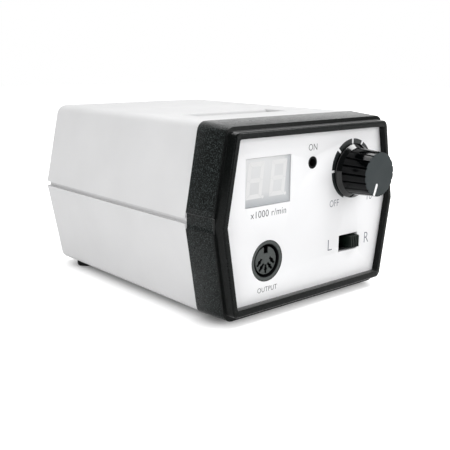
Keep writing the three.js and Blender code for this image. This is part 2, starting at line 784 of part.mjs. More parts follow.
// A circle with shallow flutes; a depth of zero gives a plain circle of as many points.
function flutedCircle(radius, depth) {
  const ridgeShares = [-0.36, -0.12, 0.12, 0.36];
  const grooveShares = [0.46, 0.54];
  const points = [];
  for (let i = 0; i < fluteCount; i += 1) {
    for (const share of ridgeShares) points.push([radius, (i + share) / fluteCount]);
    for (const share of grooveShares) points.push([radius - depth, (i + share) / fluteCount]);
  }
  return points.map(([r, turn]) => [
    knobX + r * Math.sin(2 * Math.PI * turn),
    knobZ + r * Math.cos(2 * Math.PI * turn),
  ]).reverse();
}

// The bar of the pointer, let out at its sides and its outer end by given amounts, at its angle at rest.
function pointerBar(grow, past, y0, y1) {
  const inner = pointerInner - grow;
  const outer = knobFrontRadius - knobCapChamfer + past;
  const geometry = new THREE.BoxGeometry(pointerWidth + 2 * grow, y1 - y0, outer - inner);
  geometry.translate(0, (y0 + y1) / 2, (outer + inner) / 2);
  geometry.rotateY(THREE.MathUtils.degToRad(pointerRestDegrees));
  geometry.translate(knobX, 0, knobZ);
  return solid(geometry);
}

function makeKnob() {
  const skirtBack = panelFace - knobSkirtLift;
  const skirtFront = skirtBack - knobSkirtThickness;
  const bevelFront = skirtFront - knobBevelHeight;
  const capBack = knobFrontY + knobCapThickness;
  const fluteStep = knobSkirtThickness / 4;
  const body = loft([
    { y: capBack, points: flutedCircle(knobFrontRadius, fluteDepth) },
    { y: bevelFront, points: flutedCircle(knobBaseRadius, fluteDepth) },
    { y: bevelFront + fluteStep, points: flutedCircle(knobBaseRadius, 0) },
    { y: skirtFront, points: flutedCircle(knobSkirtRadius, 0) },
    { y: skirtBack, points: flutedCircle(knobSkirtRadius, 0) },
  ]);
  const shaftEnd = skirtBack - knobHollowDepth - shaftInKnob;
  piece('speed_knob', body
    .subtract(rod(knobX, knobZ, knobHollowRadius, skirtBack - knobHollowDepth, skirtBack + overrun, plainSides))
    .subtract(rod(knobX, knobZ, shaftRadius + slack, shaftEnd - slack, skirtBack, plainSides)), knobPlastic);
  const grooveY = knobFrontY + pointerDepth;
  piece('knob_cap', loft([
    { y: knobFrontY, points: flutedCircle(knobFrontRadius - knobCapChamfer, fluteDepth) },
    { y: knobFrontY + knobCapChamfer, points: flutedCircle(knobFrontRadius, fluteDepth) },
    { y: capBack, points: flutedCircle(knobFrontRadius, fluteDepth) },
  ]).subtract(pointerBar(pointerFit, overrun, knobFrontY - overrun, grooveY)), capPlastic);
  piece('knob_pointer', pointerBar(0, 0, knobFrontY, grooveY), markPlastic);
  piece('pot_shaft', rod(knobX, knobZ, shaftRadius, shaftEnd, panelBack + potBoreDepth, plainSides), aluminium);

  const bushingFront = panelFace - bushingStandOut;
  piece('pot_body', turned(knobX, knobZ, [
    [shaftRadius + slack, bushingFront], [bushingRadius, bushingFront], [bushingRadius, panelBack],
    [potRadius, panelBack], [potRadius, panelBack + potLength], [0, panelBack + potLength],
    [0, panelBack + potBoreDepth + slack], [shaftRadius + slack, panelBack + potBoreDepth + slack],
    [shaftRadius + slack, bushingFront],
  ], plainSides), steel);
  piece('pot_switch', centredBlock(knobX, knobZ, potSwitchWidth, potSwitchWidth,
    panelBack + potLength, panelBack + potLength + potSwitchDepth), blackPlastic);
  const washerY = panelFace - washerThickness;
  const bore = bushingRadius + slack;
  piece('pot_washer', turned(knobX, knobZ, [[bore, washerY], [washerRadius, washerY], [washerRadius, panelFace],
    [bore, panelFace], [bore, washerY]], plainSides), steel);
  piece('pot_nut', rod(knobX, knobZ, potNutRadius, washerY - nutThickness, washerY, hexSides)
    .subtract(rod(knobX, knobZ, bore, washerY - nutThickness - overrun, washerY + overrun, plainSides)), steel);
}

function makeSocket() {
  const boreEnd = socketFace + socketBoreDepth;
  const rearEnd = socketFace + socketLength;
  const seat = socketInsertRadius + slack / 2;
  piece('socket_shell', turned(socketX, socketZ, [
    [socketBoreRadius, socketFace], [socketFlangeRadius - socketFlangeBevel, socketFace],
    [socketFlangeRadius, socketFace + socketFlangeBevel], [socketFlangeRadius, socketSeat],
    [socketBarrelRadius, socketSeat], [socketBarrelRadius, rearEnd], [seat, rearEnd], [seat, boreEnd],
    [socketBoreRadius, boreEnd], [socketBoreRadius, socketFace],
  ], fineSides), greyPlastic);
  const insertFace = socketFace + socketInsertSetBack;
  let insert = rod(socketX, socketZ, socketInsertRadius, insertFace, rearEnd + overrun, fineSides);
  const keyZ = socketZ + socketInsertRadius;
  insert = insert.subtract(block(socketX - socketKeyWidth / 2, socketX + socketKeyWidth / 2,
    insertFace - overrun, boreEnd, keyZ - socketKeyDepth, keyZ + overrun));
  for (let i = 0; i < contactCount; i += 1) {
    const spot = i - (contactCount - 1) / 2;
    const place = THREE.MathUtils.degToRad(spot * contactStepDegrees);
    const lean = THREE.MathUtils.degToRad(THREE.MathUtils.clamp(spot, -1, 1) * contactStepDegrees);
    const x = socketX - contactCircleRadius * Math.sin(place);
    const z = socketZ - contactCircleRadius * Math.cos(place);
    const slot = new THREE.BoxGeometry(contactSlotWidth, contactSlotDepth + overrun, contactSlotLength);
    slot.rotateY(lean);
    slot.translate(x, insertFace + (contactSlotDepth - overrun) / 2, z);
    insert = insert.subtract(solid(slot))
      .subtract(rod(x, z, contactEyeRadius, insertFace - overrun, insertFace + contactSlotDepth, smallSides));
  }
  piece('socket_insert', insert, greyPlastic);
  piece('socket_nut', rod(socketX, socketZ, socketNutRadius, panelBack, panelBack + socketNutThickness, hexSides)
    .subtract(rod(socketX, socketZ, socketBarrelRadius + slack, panelBack - overrun,
      panelBack + socketNutThickness + overrun, fineSides)), steel);
}

// A slide switch behind a panel. inward is 1 behind the front panel and -1 behind the rear one.
function makeSlideSwitch(name, sizes) {
  const { x, z, innerY, outerY, inward, slotWidth, slotHeight, sliderWidth, sliderHeight, restX } = sizes;
  const ordered = (a, b) => [Math.min(a, b), Math.max(a, b)];
  const frameY = innerY + inward * switchFrameThickness;
  const bodyY = frameY + inward * switchBodyDepth;
  const slotFloor = frameY + inward * (sliderDepthInBody + slack);
  const past = inward * overrun;
  piece(`${name}_frame`, centredBlock(x, z, slotWidth + 2 * (switchBodyMargin + switchFrameMargin),
    slotHeight + 2 * switchBodyMargin, ...ordered(innerY, frameY))
    .subtract(centredBlock(x, z, slotWidth, slotHeight, ...ordered(innerY - past, frameY + past))), steel);
  piece(`${name}_body`, centredBlock(x, z, slotWidth + 2 * switchBodyMargin, slotHeight + 2 * switchBodyMargin,
    ...ordered(frameY, bodyY))
    .subtract(centredBlock(x, z, slotWidth, sliderHeight + 2 * slack, ...ordered(frameY - past, slotFloor))), blackPlastic);
  const sliderFront = outerY - inward * sliderProud;
  let slider = centredBlock(restX, z, sliderWidth, sliderHeight,
    ...ordered(sliderFront, frameY + inward * sliderDepthInBody));
  const pitch = sliderWidth / sliderRibCount;
  for (let i = 0; i + 1 < sliderRibCount; i += 1) {
    const grooveX = restX + (i + 1 - sliderRibCount / 2) * pitch;
    slider = slider.subtract(centredBlock(grooveX, z, pitch / 2, sliderHeight + 2 * overrun,
      ...ordered(sliderFront - past, sliderFront + inward * sliderRibDepth)));
  }
  piece(`${name}_slider`, slider, blackPlastic);
}

function makeRearPanel() {
  const skin = outline(drawnIn(caseSection, wall + slack), bottomCornerRadius - wall / 2, topCornerRadius - wall / 2);
  const through = [rearInner - overrun, rearOuter + overrun];
  let panel = prism(skin, rearInner, rearOuter)
    .subtract(centredBlock(inletX, rearRowZ, inletBodyWidth + 2 * slack, inletBodyHeight + 2 * slack, ...through))
    .subtract(rod(fuseX, rearRowZ, fuseBarrelRadius + slack, ...through, plainSides))
    .subtract(rod(jackX, rearRowZ, jackBushingRadius + slack, ...through, plainSides))
    .subtract(centredBlock(jackX, seamZ - pedalSwitchDrop, pedalSlotWidth, pedalSlotHeight, ...through));
  for (let i = 0; i < ventCount; i += 1) {
    const x = (i - (ventCount - 1) / 2) * ventPitch;
    panel = panel.subtract(centredBlock(x, seamZ + ventRise, ventWidth, ventHeight, ...through));
  }
  piece('rear_panel', panel, whitePlastic);
}

function makeInlet() {
  const flangeY = rearOuter + inletFlangeThickness;
  const bodyFront = flangeY - inletBodyDepth;
  const recess = prism(stadium(inletX, rearRowZ, inletRecessHalf, inletRecessRadius, cornerSteps * 2),
    flangeY - inletRecessDepth, flangeY + overrun);
  let inlet = centredBlock(inletX, rearRowZ, inletFlangeWidth, inletFlangeHeight, rearOuter, flangeY)
    .add(centredBlock(inletX, rearRowZ, inletBodyWidth, inletBodyHeight, bodyFront, flangeY))
    .subtract(recess);
  for (const [side, name] of [[-1, 'left'], [1, 'right']]) {
    const x = inletX + side * inletPinSpacing / 2;
    inlet = inlet.subtract(rod(x, rearRowZ, inletPinRadius + slack / 2, bodyFront - overrun, flangeY, smallSides));
    piece(`inlet_pin_${name}`, rod(x, rearRowZ, inletPinRadius, bodyFront - inletPinTail, flangeY - inletPinSetBack,
      smallSides), brass);
  }
  piece('mains_inlet', inlet, blackPlastic);
}

function makeFuse() {
  const flangeY = rearOuter + fuseFlangeThickness;
  const barrelEnd = rearOuter - fuseBarrelLength;
  const boreEnd = barrelEnd + fuseBoreFloor;
  piece('fuse_holder', turned(fuseX, rearRowZ, [
    [0, barrelEnd], [fuseBarrelRadius, barrelEnd], [fuseBarrelRadius, rearOuter], [fuseFlangeRadius, rearOuter],
    [fuseFlangeRadius, flangeY], [fuseBoreRadius, flangeY], [fuseBoreRadius, boreEnd], [0, boreEnd],
  ], plainSides), blackPlastic);
  piece('fuse_nut', rod(fuseX, rearRowZ, fuseNutRadius, rearInner - fuseNutThickness, rearInner, hexSides)
    .subtract(rod(fuseX, rearRowZ, fuseBarrelRadius + slack, rearInner - fuseNutThickness - overrun,
      rearInner + overrun, plainSides)), blackPlastic);
  const fuseStart = boreEnd + slack;
  piece('glass_fuse', rod(fuseX, rearRowZ, fuseRadius, fuseStart, fuseStart + fuseLength, smallSides), glass);
  const stem = fuseBoreRadius - slack;
  const stemEnd = fuseCapBackY - fuseStemLength;
  const socketEnd = stemEnd + fuseSocketDepth;
  const grip = fuseRadius + slack;
  const cap = turned(fuseX, rearRowZ, [
    [grip, stemEnd], [stem, stemEnd], [stem, fuseCapBackY], [fuseCapRadius, fuseCapBackY],
    [fuseCapRadius, rearmostY - fuseCapChamfer], [fuseCapRadius - fuseCapChamfer, rearmostY], [0, rearmostY],
    [0, socketEnd], [grip, socketEnd], [grip, stemEnd],
  ], plainSides).subtract(centredBlock(fuseX, rearRowZ, coinSlotLength, coinSlotWidth,
    rearmostY - coinSlotDepth, rearmostY + overrun));
  piece('fuse_cap', cap, blackPlastic);
}

function makePedalSocket() {
  const bushingEnd = rearOuter + jackBushingStandOut;
  piece('pedal_socket', centredBlock(jackX, rearRowZ, jackBodyWidth, jackBodyHeight, rearInner - jackBodyDepth, rearInner)
    .add(rod(jackX, rearRowZ, jackBushingRadius, rearInner - overrun, bushingEnd, plainSides))
    .subtract(rod(jackX, rearRowZ, jackBoreRadius, bushingEnd - jackBoreDepth, bushingEnd + overrun, plainSides)),
  blackPlastic);
  piece('pedal_socket_nut', rod(jackX, rearRowZ, jackNutRadius, rearOuter, rearOuter + jackNutThickness, hexSides)
    .subtract(rod(jackX, rearRowZ, jackBushingRadius + slack, rearOuter - overrun,
      rearOuter + jackNutThickness + overrun, plainSides)), steel);
}

// A screw with its shank along Z: headUp is 1 with the head above the shank and -1 below it.
function makeScrew(name, x, y, seatZ, headUp, sizes) {
  const { radius, length, headRadius, headHeight } = sizes;
  const [shankLow, shankHigh] = headUp > 0 ? [seatZ - length, seatZ] : [seatZ, seatZ + length];
  const [headLow, headHigh] = headUp > 0 ? [seatZ, seatZ + headHeight] : [seatZ - headHeight, seatZ];
  piece(name, post(x, y, radius, shankLow, shankHigh, smallSides)
    .add(post(x, y, headRadius, headLow, headHigh, smallSides)), steel);
}

function makeFeetAndCaseScrews() {
  for (const [place, x, y] of footPlaces) {
    const foot = new THREE.LatheGeometry([
      new THREE.Vector2(0, 0),
      new THREE.Vector2(footRadius - footDome, 0),
      new THREE.Vector2(footRadius - footDome / 3, footDome / 3),
      new THREE.Vector2(footRadius, footDome),
      new THREE.Vector2(footRadius, caseBottom + footSink),
      new THREE.Vector2(0, caseBottom + footSink),
    ], plainSides);
    foot.rotateX(Math.PI / 2);
    foot.translate(x, y, 0);
    piece(`foot_${place}`, solid(foot), rubber);
  }
  const seatZ = caseBottom + postCounterDepth;
  for (const [place, x, y] of postPlaces) {
    makeScrew(`case_screw_${place}`, x, y, seatZ, -1, {
      radius: caseScrewRadius,
      length: tongueTop + slack + caseScrewBite - seatZ,
      headRadius: caseScrewHeadRadius,
      headHeight: caseScrewHeadHeight,
    });
  }
}

const smallScrew = {
  radius: smallScrewRadius,
  length: smallScrewLength,
  headRadius: smallScrewHeadRadius,
  headHeight: smallScrewHeadHeight,
};

function makeTransformer() {
  const half = coreWidth / 2;
  const [y0, y1] = [transformerY - coreStack / 2, transformerY + coreStack / 2];
  const topZ = padTopZ + coreHeight;
  const windowWidth = (coreWidth - 2 * coreLimb - coreCentreLimb) / 2;
  let core = block(transformerX - half, transformerX + half, y0, y1, padTopZ, topZ);
  for (const side of [-1, 1]) {
    const x = transformerX + side * (coreCentreLimb + windowWidth) / 2;
    core = core.subtract(block(x - windowWidth / 2, x + windowWidth / 2, y0 - overrun, y1 + overrun,
      padTopZ + coreLimb, topZ - coreLimb));
  }
  piece('transformer_core', core, laminations);
  const coilHalf = coreCentreLimb / 2 + windowWidth - slack;
  const [coilLow, coilHigh] = [padTopZ + coreLimb + slack, topZ - coreLimb - slack];
  piece('transformer_coil', block(transformerX - coilHalf, transformerX + coilHalf,
    y0 - coilWall, y1 + coilWall, coilLow, coilHigh)
    .subtract(block(transformerX - coreCentreLimb / 2 - slack, transformerX + coreCentreLimb / 2 + slack,
      y0 - slack, y1 + slack, coilLow - overrun, coilHigh + overrun)), coilTape);
  const [strapY0, strapY1] = [transformerY - strapWidth / 2, transformerY + strapWidth / 2];
  const footHalf = strapHalf + strapFootLength;
  let strap = block(transformerX - footHalf, transformerX + footHalf, strapY0, strapY1, padTopZ, padTopZ + strapThickness)
    .add(block(transformerX - strapHalf, transformerX + strapHalf, strapY0, strapY1,
      padTopZ, topZ + slack + strapThickness))
    .subtract(block(transformerX - half - slack, transformerX + half + slack, strapY0 - overrun, strapY1 + overrun,
      padTopZ - overrun, topZ + slack));
  for (const [side, name] of [[-1, 'left'], [1, 'right']]) {
    const x = transformerX + side * strapScrewX;
    strap = strap.subtract(post(x, transformerY, smallScrewHoleRadius, padTopZ - overrun,
      padTopZ + strapThickness + overrun, smallSides));
    makeScrew(`transformer_screw_${name}`, x, transformerY, padTopZ + strapThickness, 1, smallScrew);
  }
  piece('transformer_strap', strap, steel);
}

const capX = boardMinX + capFromBoardSide;

// An upright can with the groove that seals its sleeve.
function makeCapacitor(name, y, radius, height) {
  const low = boardTopZ + capGrooveRise;
  const profile = [[0, boardTopZ], [radius, boardTopZ], [radius, low], [radius - capGroove, low + capGroove],
    [radius, low + 2 * capGroove], [radius, boardTopZ + height], [0, boardTopZ + height]];
  const geometry = new THREE.LatheGeometry(profile.map(([r, z]) => new THREE.Vector2(r, z)), plainSides);
  geometry.rotateX(Math.PI / 2);
  geometry.translate(capX, y, 0);
  piece(name, solid(geometry), blackPlastic);
}

function makeControlBoard() {
  let board = block(boardMinX, boardMaxX, boardMinY, boardMaxY, boardPadZ, boardTopZ);
  for (const [x, y] of standPlaces) {
    board = board.subtract(post(x, y, smallScrewHoleRadius, boardPadZ - overrun, boardTopZ + overrun, smallSides));
  }
  piece('control_board', board, boardGreen);
  standPlaces.slice(0, screwedStands).forEach(([x, y], i) => {
    makeScrew(`board_screw_${i + 1}`, x, y, boardTopZ, 1, smallScrew);
  });
  const sinkBack = boardMaxX - heatsinkFromEdge;
  const sinkFront = sinkBack - heatsinkDepth;
  const sinkY0 = boardMinY + heatsinkFromBoardFront - heatsinkLength / 2;
  const sinkY1 = sinkY0 + heatsinkLength;
  const sinkTop = boardTopZ + heatsinkHeight;
  let sink = block(sinkFront, sinkFront + heatsinkBase, sinkY0, sinkY1, boardTopZ, sinkTop);
  const finPitch = (heatsinkLength - heatsinkFinThickness) / (heatsinkFins - 1);
  for (let i = 0; i < heatsinkFins; i += 1) {
    const y = sinkY0 + i * finPitch;
    sink = sink.add(block(sinkFront, sinkBack, y, y + heatsinkFinThickness, boardTopZ, sinkTop));
  }
  piece('heatsink', sink, aluminium);
  const chipY0 = boardMinY + transistorFromBoardFront - transistorWidth / 2;
  const chipY1 = chipY0 + transistorWidth;
  const chipTop = boardTopZ + transistorHeight;
  piece('power_transistor', block(sinkFront - transistorTab, sinkFront, chipY0, chipY1, boardTopZ, chipTop)
    .add(block(sinkFront - transistorThickness, sinkFront, chipY0, chipY1, boardTopZ,
      boardTopZ + transistorHeight * transistorTabShare)), blackPlastic);
  makeCapacitor('filter_capacitor', boardMinY + filterCapFromBoardFront, filterCapRadius, filterCapHeight);
  makeCapacitor('output_capacitor', boardMinY + outputCapFromBoardFront, outputCapRadius, outputCapHeight);
  const bridgeY = boardMinY + rectifierFromBoardFront;
  piece('bridge_rectifier', block(capX - rectifierWidth / 2, capX + rectifierWidth / 2,
    bridgeY - rectifierThickness / 2, bridgeY + rectifierThickness / 2, boardTopZ, boardTopZ + rectifierHeight),
  blackPlastic);
  const terminalX = (boardMinX + boardMaxX) / 2;
  let terminal = block(terminalX - terminalWidth / 2, terminalX + terminalWidth / 2,
    boardMaxY - standInset - standRadius - terminalDepth, boardMaxY - standInset - standRadius,
    boardTopZ, boardTopZ + terminalHeight);
  const terminalFace = boardMaxY - standInset - standRadius;
  const bayPitch = terminalWidth / terminalBays;
  for (let i = 0; i < terminalBays; i += 1) {
    const x = terminalX + (i - (terminalBays - 1) / 2) * bayPitch;
    terminal = terminal.subtract(block(x - terminalBayWidth / 2, x + terminalBayWidth / 2,
      terminalFace - terminalBayDepth, terminalFace + overrun,
      boardTopZ + terminalHeight / 2 - terminalBayWidth / 2, boardTopZ + terminalHeight / 2 + terminalBayWidth / 2));
  }
  piece('terminal_block', terminal, greyPlastic);
}

const hollow = hollowCase();
makeUpperShell(hollow);
makeLowerShell(hollow);
makeBezel();
makeFrontPanel();
makeDisplay();
makeKnob();
makeSocket();
makeSlideSwitch('direction_switch', {
  x: directionX,
  z: directionZ,
  innerY: panelBack,
  outerY: panelFace,
  inward: 1,
  slotWidth: directionSlotWidth,
  slotHeight: directionSlotHeight,
  sliderWidth: directionSliderWidth,
  sliderHeight: directionSliderHeight,
  restX: directionX + directionTravel / 2,
});
makeSlideSwitch('pedal_switch', {
  x: jackX,
  z: seamZ - pedalSwitchDrop,
  innerY: rearInner,
  outerY: rearOuter,
  inward: -1,
  slotWidth: pedalSlotWidth,
  slotHeight: pedalSlotHeight,
  sliderWidth: pedalSliderWidth,
  sliderHeight: pedalSliderHeight,
  restX: jackX + pedalTravel / 2,
});
makeRearPanel();
makeInlet();
makeFuse();
makePedalSocket();
makeFeetAndCaseScrews();
makeTransformer();
makeControlBoard();

export default root;
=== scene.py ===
import logging
import math
from dataclasses import dataclass
from enum import Enum
from functools import cache
from typing import Iterable, Sequence

import bmesh
import bpy
from mathutils import Matrix, Vector


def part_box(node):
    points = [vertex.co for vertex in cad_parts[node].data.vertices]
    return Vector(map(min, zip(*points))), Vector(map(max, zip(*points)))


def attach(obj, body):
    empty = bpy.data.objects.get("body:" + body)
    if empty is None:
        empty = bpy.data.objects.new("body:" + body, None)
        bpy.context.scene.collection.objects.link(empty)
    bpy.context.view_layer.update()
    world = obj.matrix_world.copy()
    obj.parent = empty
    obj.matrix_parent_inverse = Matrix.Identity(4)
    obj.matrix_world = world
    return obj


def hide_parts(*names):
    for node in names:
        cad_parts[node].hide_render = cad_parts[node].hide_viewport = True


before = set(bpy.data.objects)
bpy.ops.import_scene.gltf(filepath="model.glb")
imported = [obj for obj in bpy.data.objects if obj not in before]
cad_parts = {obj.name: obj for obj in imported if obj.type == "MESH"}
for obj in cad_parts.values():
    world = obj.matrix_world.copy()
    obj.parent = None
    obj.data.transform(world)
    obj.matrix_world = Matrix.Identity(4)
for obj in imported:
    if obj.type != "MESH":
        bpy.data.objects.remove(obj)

Point2 = tuple[float, float]
Point3 = tuple[float, float, float]
Colour = tuple[float, float, float]
Socket = bpy.types.NodeSocket
Piece = bpy.types.Object

LOG = logging.getLogger("nail_drill_box")
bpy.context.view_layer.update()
MM = 0.001
MERGE = 2e-6
FLAT_ANGLE = math.radians(0.4)
SHARP_ANGLE = math.radians(40.0)
PAST = 1.0
EVEN: Point3 = (1.0, 1.0, 1.0)
FULL_TURN = 2 * math.pi
RIM_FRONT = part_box("front_bezel")[0].y
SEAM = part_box("upper_shell")[0].z / MM


class Side(Enum):
    """The two sides of the case, seen from the front."""

    LEFT = -1
    RIGHT = 1


class Body(Enum):
    """The bodies that a piece can ride on."""

    CASE = "root"
    KNOB = "knob"
    DIRECTION = "direction_slider"
    PEDAL = "pedal_slider"
    FUSE = "fuse_carrier"


class Detail(Enum):
    """How many finer layers a noise has."""

    PLAIN = 1.0
    SOME = 2.0
    FINE = 3.0
    FINER = 4.0
    FINEST = 5.0


def in_frame(point: Point3) -> Vector:
    """Turns a point in millimetres, with y from the rim's front face, into the frame's metres."""
    x, y, z = point
    return Vector((x * MM, y * MM + RIM_FRONT, z * MM))


def depth_of(node: str, front: bool) -> float:
    """Returns the y of a CAD node's front or rear end, in millimetres from the rim's front face."""
    low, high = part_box(node)
    return ((low if front else high).y - RIM_FRONT) / MM


@dataclass(frozen=True)
class Axis:
    """A line along y, in millimetres."""

    x: float
    z: float

    @classmethod
    def of(cls, node: str) -> "Axis":
        """Returns the axis through a CAD node's middle."""
        low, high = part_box(node)
        return cls((low.x + high.x) / 2 / MM, (low.z + high.z) / 2 / MM)

    def around(self, radius: float, angle: float) -> Point2:
        """Returns the x and z at a radius and an angle, clockwise from the top as seen from the front."""
        return self.x + radius * math.sin(angle), self.z + radius * math.cos(angle)

    def centre(self) -> Vector:
        """Returns the axis's point at the rim's front face, in the frame."""
        return in_frame((self.x, 0.0, self.z))


class Nodes:
    """A node tree in the making."""

    def __init__(self, tree: bpy.types.NodeTree) -> None:
        """Starts on a tree."""
        self.tree = tree

    def feed(self, target: Socket, source: object) -> None:
        """Links an input or sets its value.

        Args:
            target: The input.
            source: A socket, a plain value, or None to leave the input alone.
        """
        if isinstance(source, Socket):
            self.tree.links.new(source, target)
        elif source is not None:
            target.default_value = source

    def add(self, kind: str, *sources: object, settings: dict[str, object] | None = None,
            **inputs: object) -> bpy.types.Node:
        """Adds a node.

        Args:
            kind: The node's type.
            *sources: Sockets or plain values for its inputs, in order.
            settings: Properties of the node.
            **inputs: Sockets or plain values by the input's name, with spaces written as underscores.

        Returns:
            The new node.
        """
        made = self.tree.nodes.new(kind)
        for name, value in (settings or {}).items():
            setattr(made, name, value)
        for target, source in zip(made.inputs, sources):
            self.feed(target, source)
        for name, source in inputs.items():
            self.feed(made.inputs[name.replace("_", " ")], source)
        return made

    def math(self, operation: str, *sources: object) -> Socket:
        """Adds a number sum and returns its result."""
        return self.add("ShaderNodeMath", *sources, settings={"operation": operation}).outputs[0]

    def eased(self, *sources: object) -> Socket:
        """Maps a value from one range to another, 0 to 1 if left out, with a soft start and end."""
        return self.add("ShaderNodeMapRange", *sources,
                        settings={"interpolation_type": "SMOOTHSTEP"}).outputs["Result"]

    def split(self, vector: Socket) -> Sequence[Socket]:
        """Returns the sockets of a vector's x, y and z."""
        return self.add("ShaderNodeSeparateXYZ", vector).outputs


class Shader(Nodes):
    """A material's node tree, with short calls for what the finishes share."""

    def __init__(self, name: str, colour: Colour, roughness: float, **values: float) -> None:
        """Starts a material.

        Args:
            name: The material's name.
            colour: The linear base colour.
            roughness: The roughness of the surface.
            **values: More inputs of the surface shader, with spaces written as underscores.
        """
        self.material = bpy.data.materials.new(name)
        self.material.use_nodes = True
        self.material.diffuse_color = (*colour, 1.0)
        super().__init__(self.material.node_tree)
        self.surface = self.tree.nodes["Principled BSDF"]
        for key, value in {"Base_Color": (*colour, 1.0), "Roughness": roughness, **values}.items():
            self.surface.inputs[key.replace("_", " ")].default_value = value

    def place(self, stretch: Point3 = EVEN) -> Socket:
        """Returns the socket of the object coordinates in metres, stretched along the axes."""
        coordinates = self.add("ShaderNodeTexCoord").outputs["Object"]
        return self.add("ShaderNodeMapping", Vector=coordinates, Scale=stretch).outputs["Vector"]

    def noise(self, grain: float, detail: Detail = Detail.SOME, stretch: Point3 = EVEN) -> Socket:
        """Returns the value of a noise with grains of a size in millimetres, squeezed along the axes."""
        return self.add("ShaderNodeTexNoise", Vector=self.place(stretch), Scale=1.0 / (grain * MM),
                        Detail=detail.value).outputs["Fac"]

    def spread(self, value: Socket, low: float, high: float, start: float = 0.3, end: float = 0.7) -> Socket:
        """Maps a value from start and end to low and high, and holds it beyond them."""
        return self.add("ShaderNodeMapRange", Value=value, From_Min=start, From_Max=end, To_Min=low,
                        To_Max=high).outputs["Result"]

    def window(self, value: Socket, span: Point2, fade: Point2) -> Socket:
        """Adds a test of one coordinate.

        Args:
            value: The socket that gives it, in metres.
            span: Where the span starts and ends, in millimetres.
            fade: Over what length it starts and ends, in millimetres.

        Returns:
            The socket that gives 1 inside the span and 0 outside it.
        """
        start = self.spread(value, 0.0, 1.0, span[0] * MM, (span[0] + fade[0]) * MM)
        end = self.spread(value, 1.0, 0.0, (span[1] - fade[1]) * MM, span[1] * MM)
        return self.math("MINIMUM", start, end)

    def blend(self, factor: Socket, first: Colour, second: Colour) -> None:
        """Colours the surface from the first colour, where a factor is 0, to the second, where it is 1."""
        mixed = self.add("ShaderNodeMix", settings={"data_type": "RGBA"}, A=(*first, 1.0), B=(*second, 1.0),
                         Factor=factor)
        self.feed(self.surface.inputs["Base Color"], mixed.outputs["Result"])

    def darken(self, factor: Socket, share: float) -> None:
        """Darkens the surface's blended colour.

        Args:
            factor: The socket that gives 1 where it is dark and 0 elsewhere.
            share: The share of the colour that is left there.
        """
        base = self.surface.inputs["Base Color"]
        mixed = self.add("ShaderNodeMix", settings={"data_type": "RGBA", "blend_type": "MULTIPLY"},
                         A=base.links[0].from_socket, B=(share, share, share, 1.0), Factor=factor)
        self.feed(base, mixed.outputs["Result"])

    def roughen(self, value: Socket, low: float, high: float) -> None:
        """Lets the roughness follow a value, from low to high."""
        self.feed(self.surface.inputs["Roughness"], self.spread(value, low, high))

    def bump(self, height: Socket, relief: float) -> None:
        """Gives the surface one more relief.

        Args:
            height: The socket that gives the height, from 0 to 1.
            relief: The depth of the relief, in millimetres.
        """
        normal = self.surface.inputs["Normal"]
        under = normal.links[0].from_socket if normal.is_linked else None
        made = self.add("ShaderNodeBump", Strength=1.0, Distance=relief * MM, Height=height, Normal=under)
        self.feed(normal, made.outputs["Normal"])


def shaded(colour: Colour, share: float) -> Colour:
    """Returns a colour made darker or lighter by a share."""
    return tuple(channel * share for channel in colour)


@dataclass(frozen=True)
class MouldedPlastic:
    """Plastic with the fine grain of an eroded mould, a little uneven in colour and sheen."""

    name: str
    colour: Colour
    roughness: float
    grain: float = 0.35
    relief: float = 0.012
    cloud: float = 0.03
    sheen_spread: float = 0.06
    reflection: float = 0.5
    cloud_size: float = 24.0
    patch_size: float = 7.0

    def build(self) -> bpy.types.Material:
        """Returns the material."""
        return self.grained().material

    def grained(self) -> Shader:
        """Adds the colour, sheen and grain.

        Returns:
            The material's shader.
        """
        shader = Shader(self.name, self.colour, self.roughness, Specular_IOR_Level=self.reflection)
        dark, pale = (shaded(self.colour, 1.0 + step) for step in (-self.cloud, self.cloud / 2))
        shader.blend(shader.spread(shader.noise(self.cloud_size, Detail.FINE), 0.0, 1.0), dark, pale)
        shader.roughen(shader.noise(self.patch_size, Detail.FINER), self.roughness - self.sheen_spread,
                       self.roughness + self.sheen_spread)
        shader.bump(shader.noise(self.grain, Detail.FINE), self.relief)
        return shader


@dataclass(frozen=True)
class CasePlastic(MouldedPlastic):
    """Moulded plastic with painted shade in the groove round it and in the hollow on its top, darker deeper
    down.
    """

    groove: Point2 = (SEAM - 2.2, SEAM)
    groove_fade: Point2 = (0.12, 1.7)
    groove_share: float = 0.66
    hollow_x: Point2 = (-32.6, 20.6)
    hollow_y: Point2 = (39.4 + RIM_FRONT / MM, 53.7 + RIM_FRONT / MM)
    hollow_z: Point2 = (77.0, 81.36)
    hollow_edge: Point2 = (0.1, 0.1)
    hollow_fade: Point2 = (0.1, 0.9)
    hollow_shade_share: float = 0.72

    def build(self) -> bpy.types.Material:
        """Builds the material.

        Returns:
            The material.
        """
        shader = self.grained()
        x, y, z = shader.split(shader.place())
        # Painted shade: the groove between the two shells is darkened where its shade falls.
        shader.darken(shader.window(z, self.groove, self.groove_fade), self.groove_share)
        # Painted shade: the hollow on the top is darkened, more so towards its bottom, where its shade falls.
        area = shader.math("MULTIPLY", shader.window(x, self.hollow_x, self.hollow_edge),
                           shader.window(y, self.hollow_y, self.hollow_edge))
        deep = shader.window(z, self.hollow_z, self.hollow_fade)
        shader.darken(shader.math("MULTIPLY", area, deep), self.hollow_shade_share)
        return shader.material


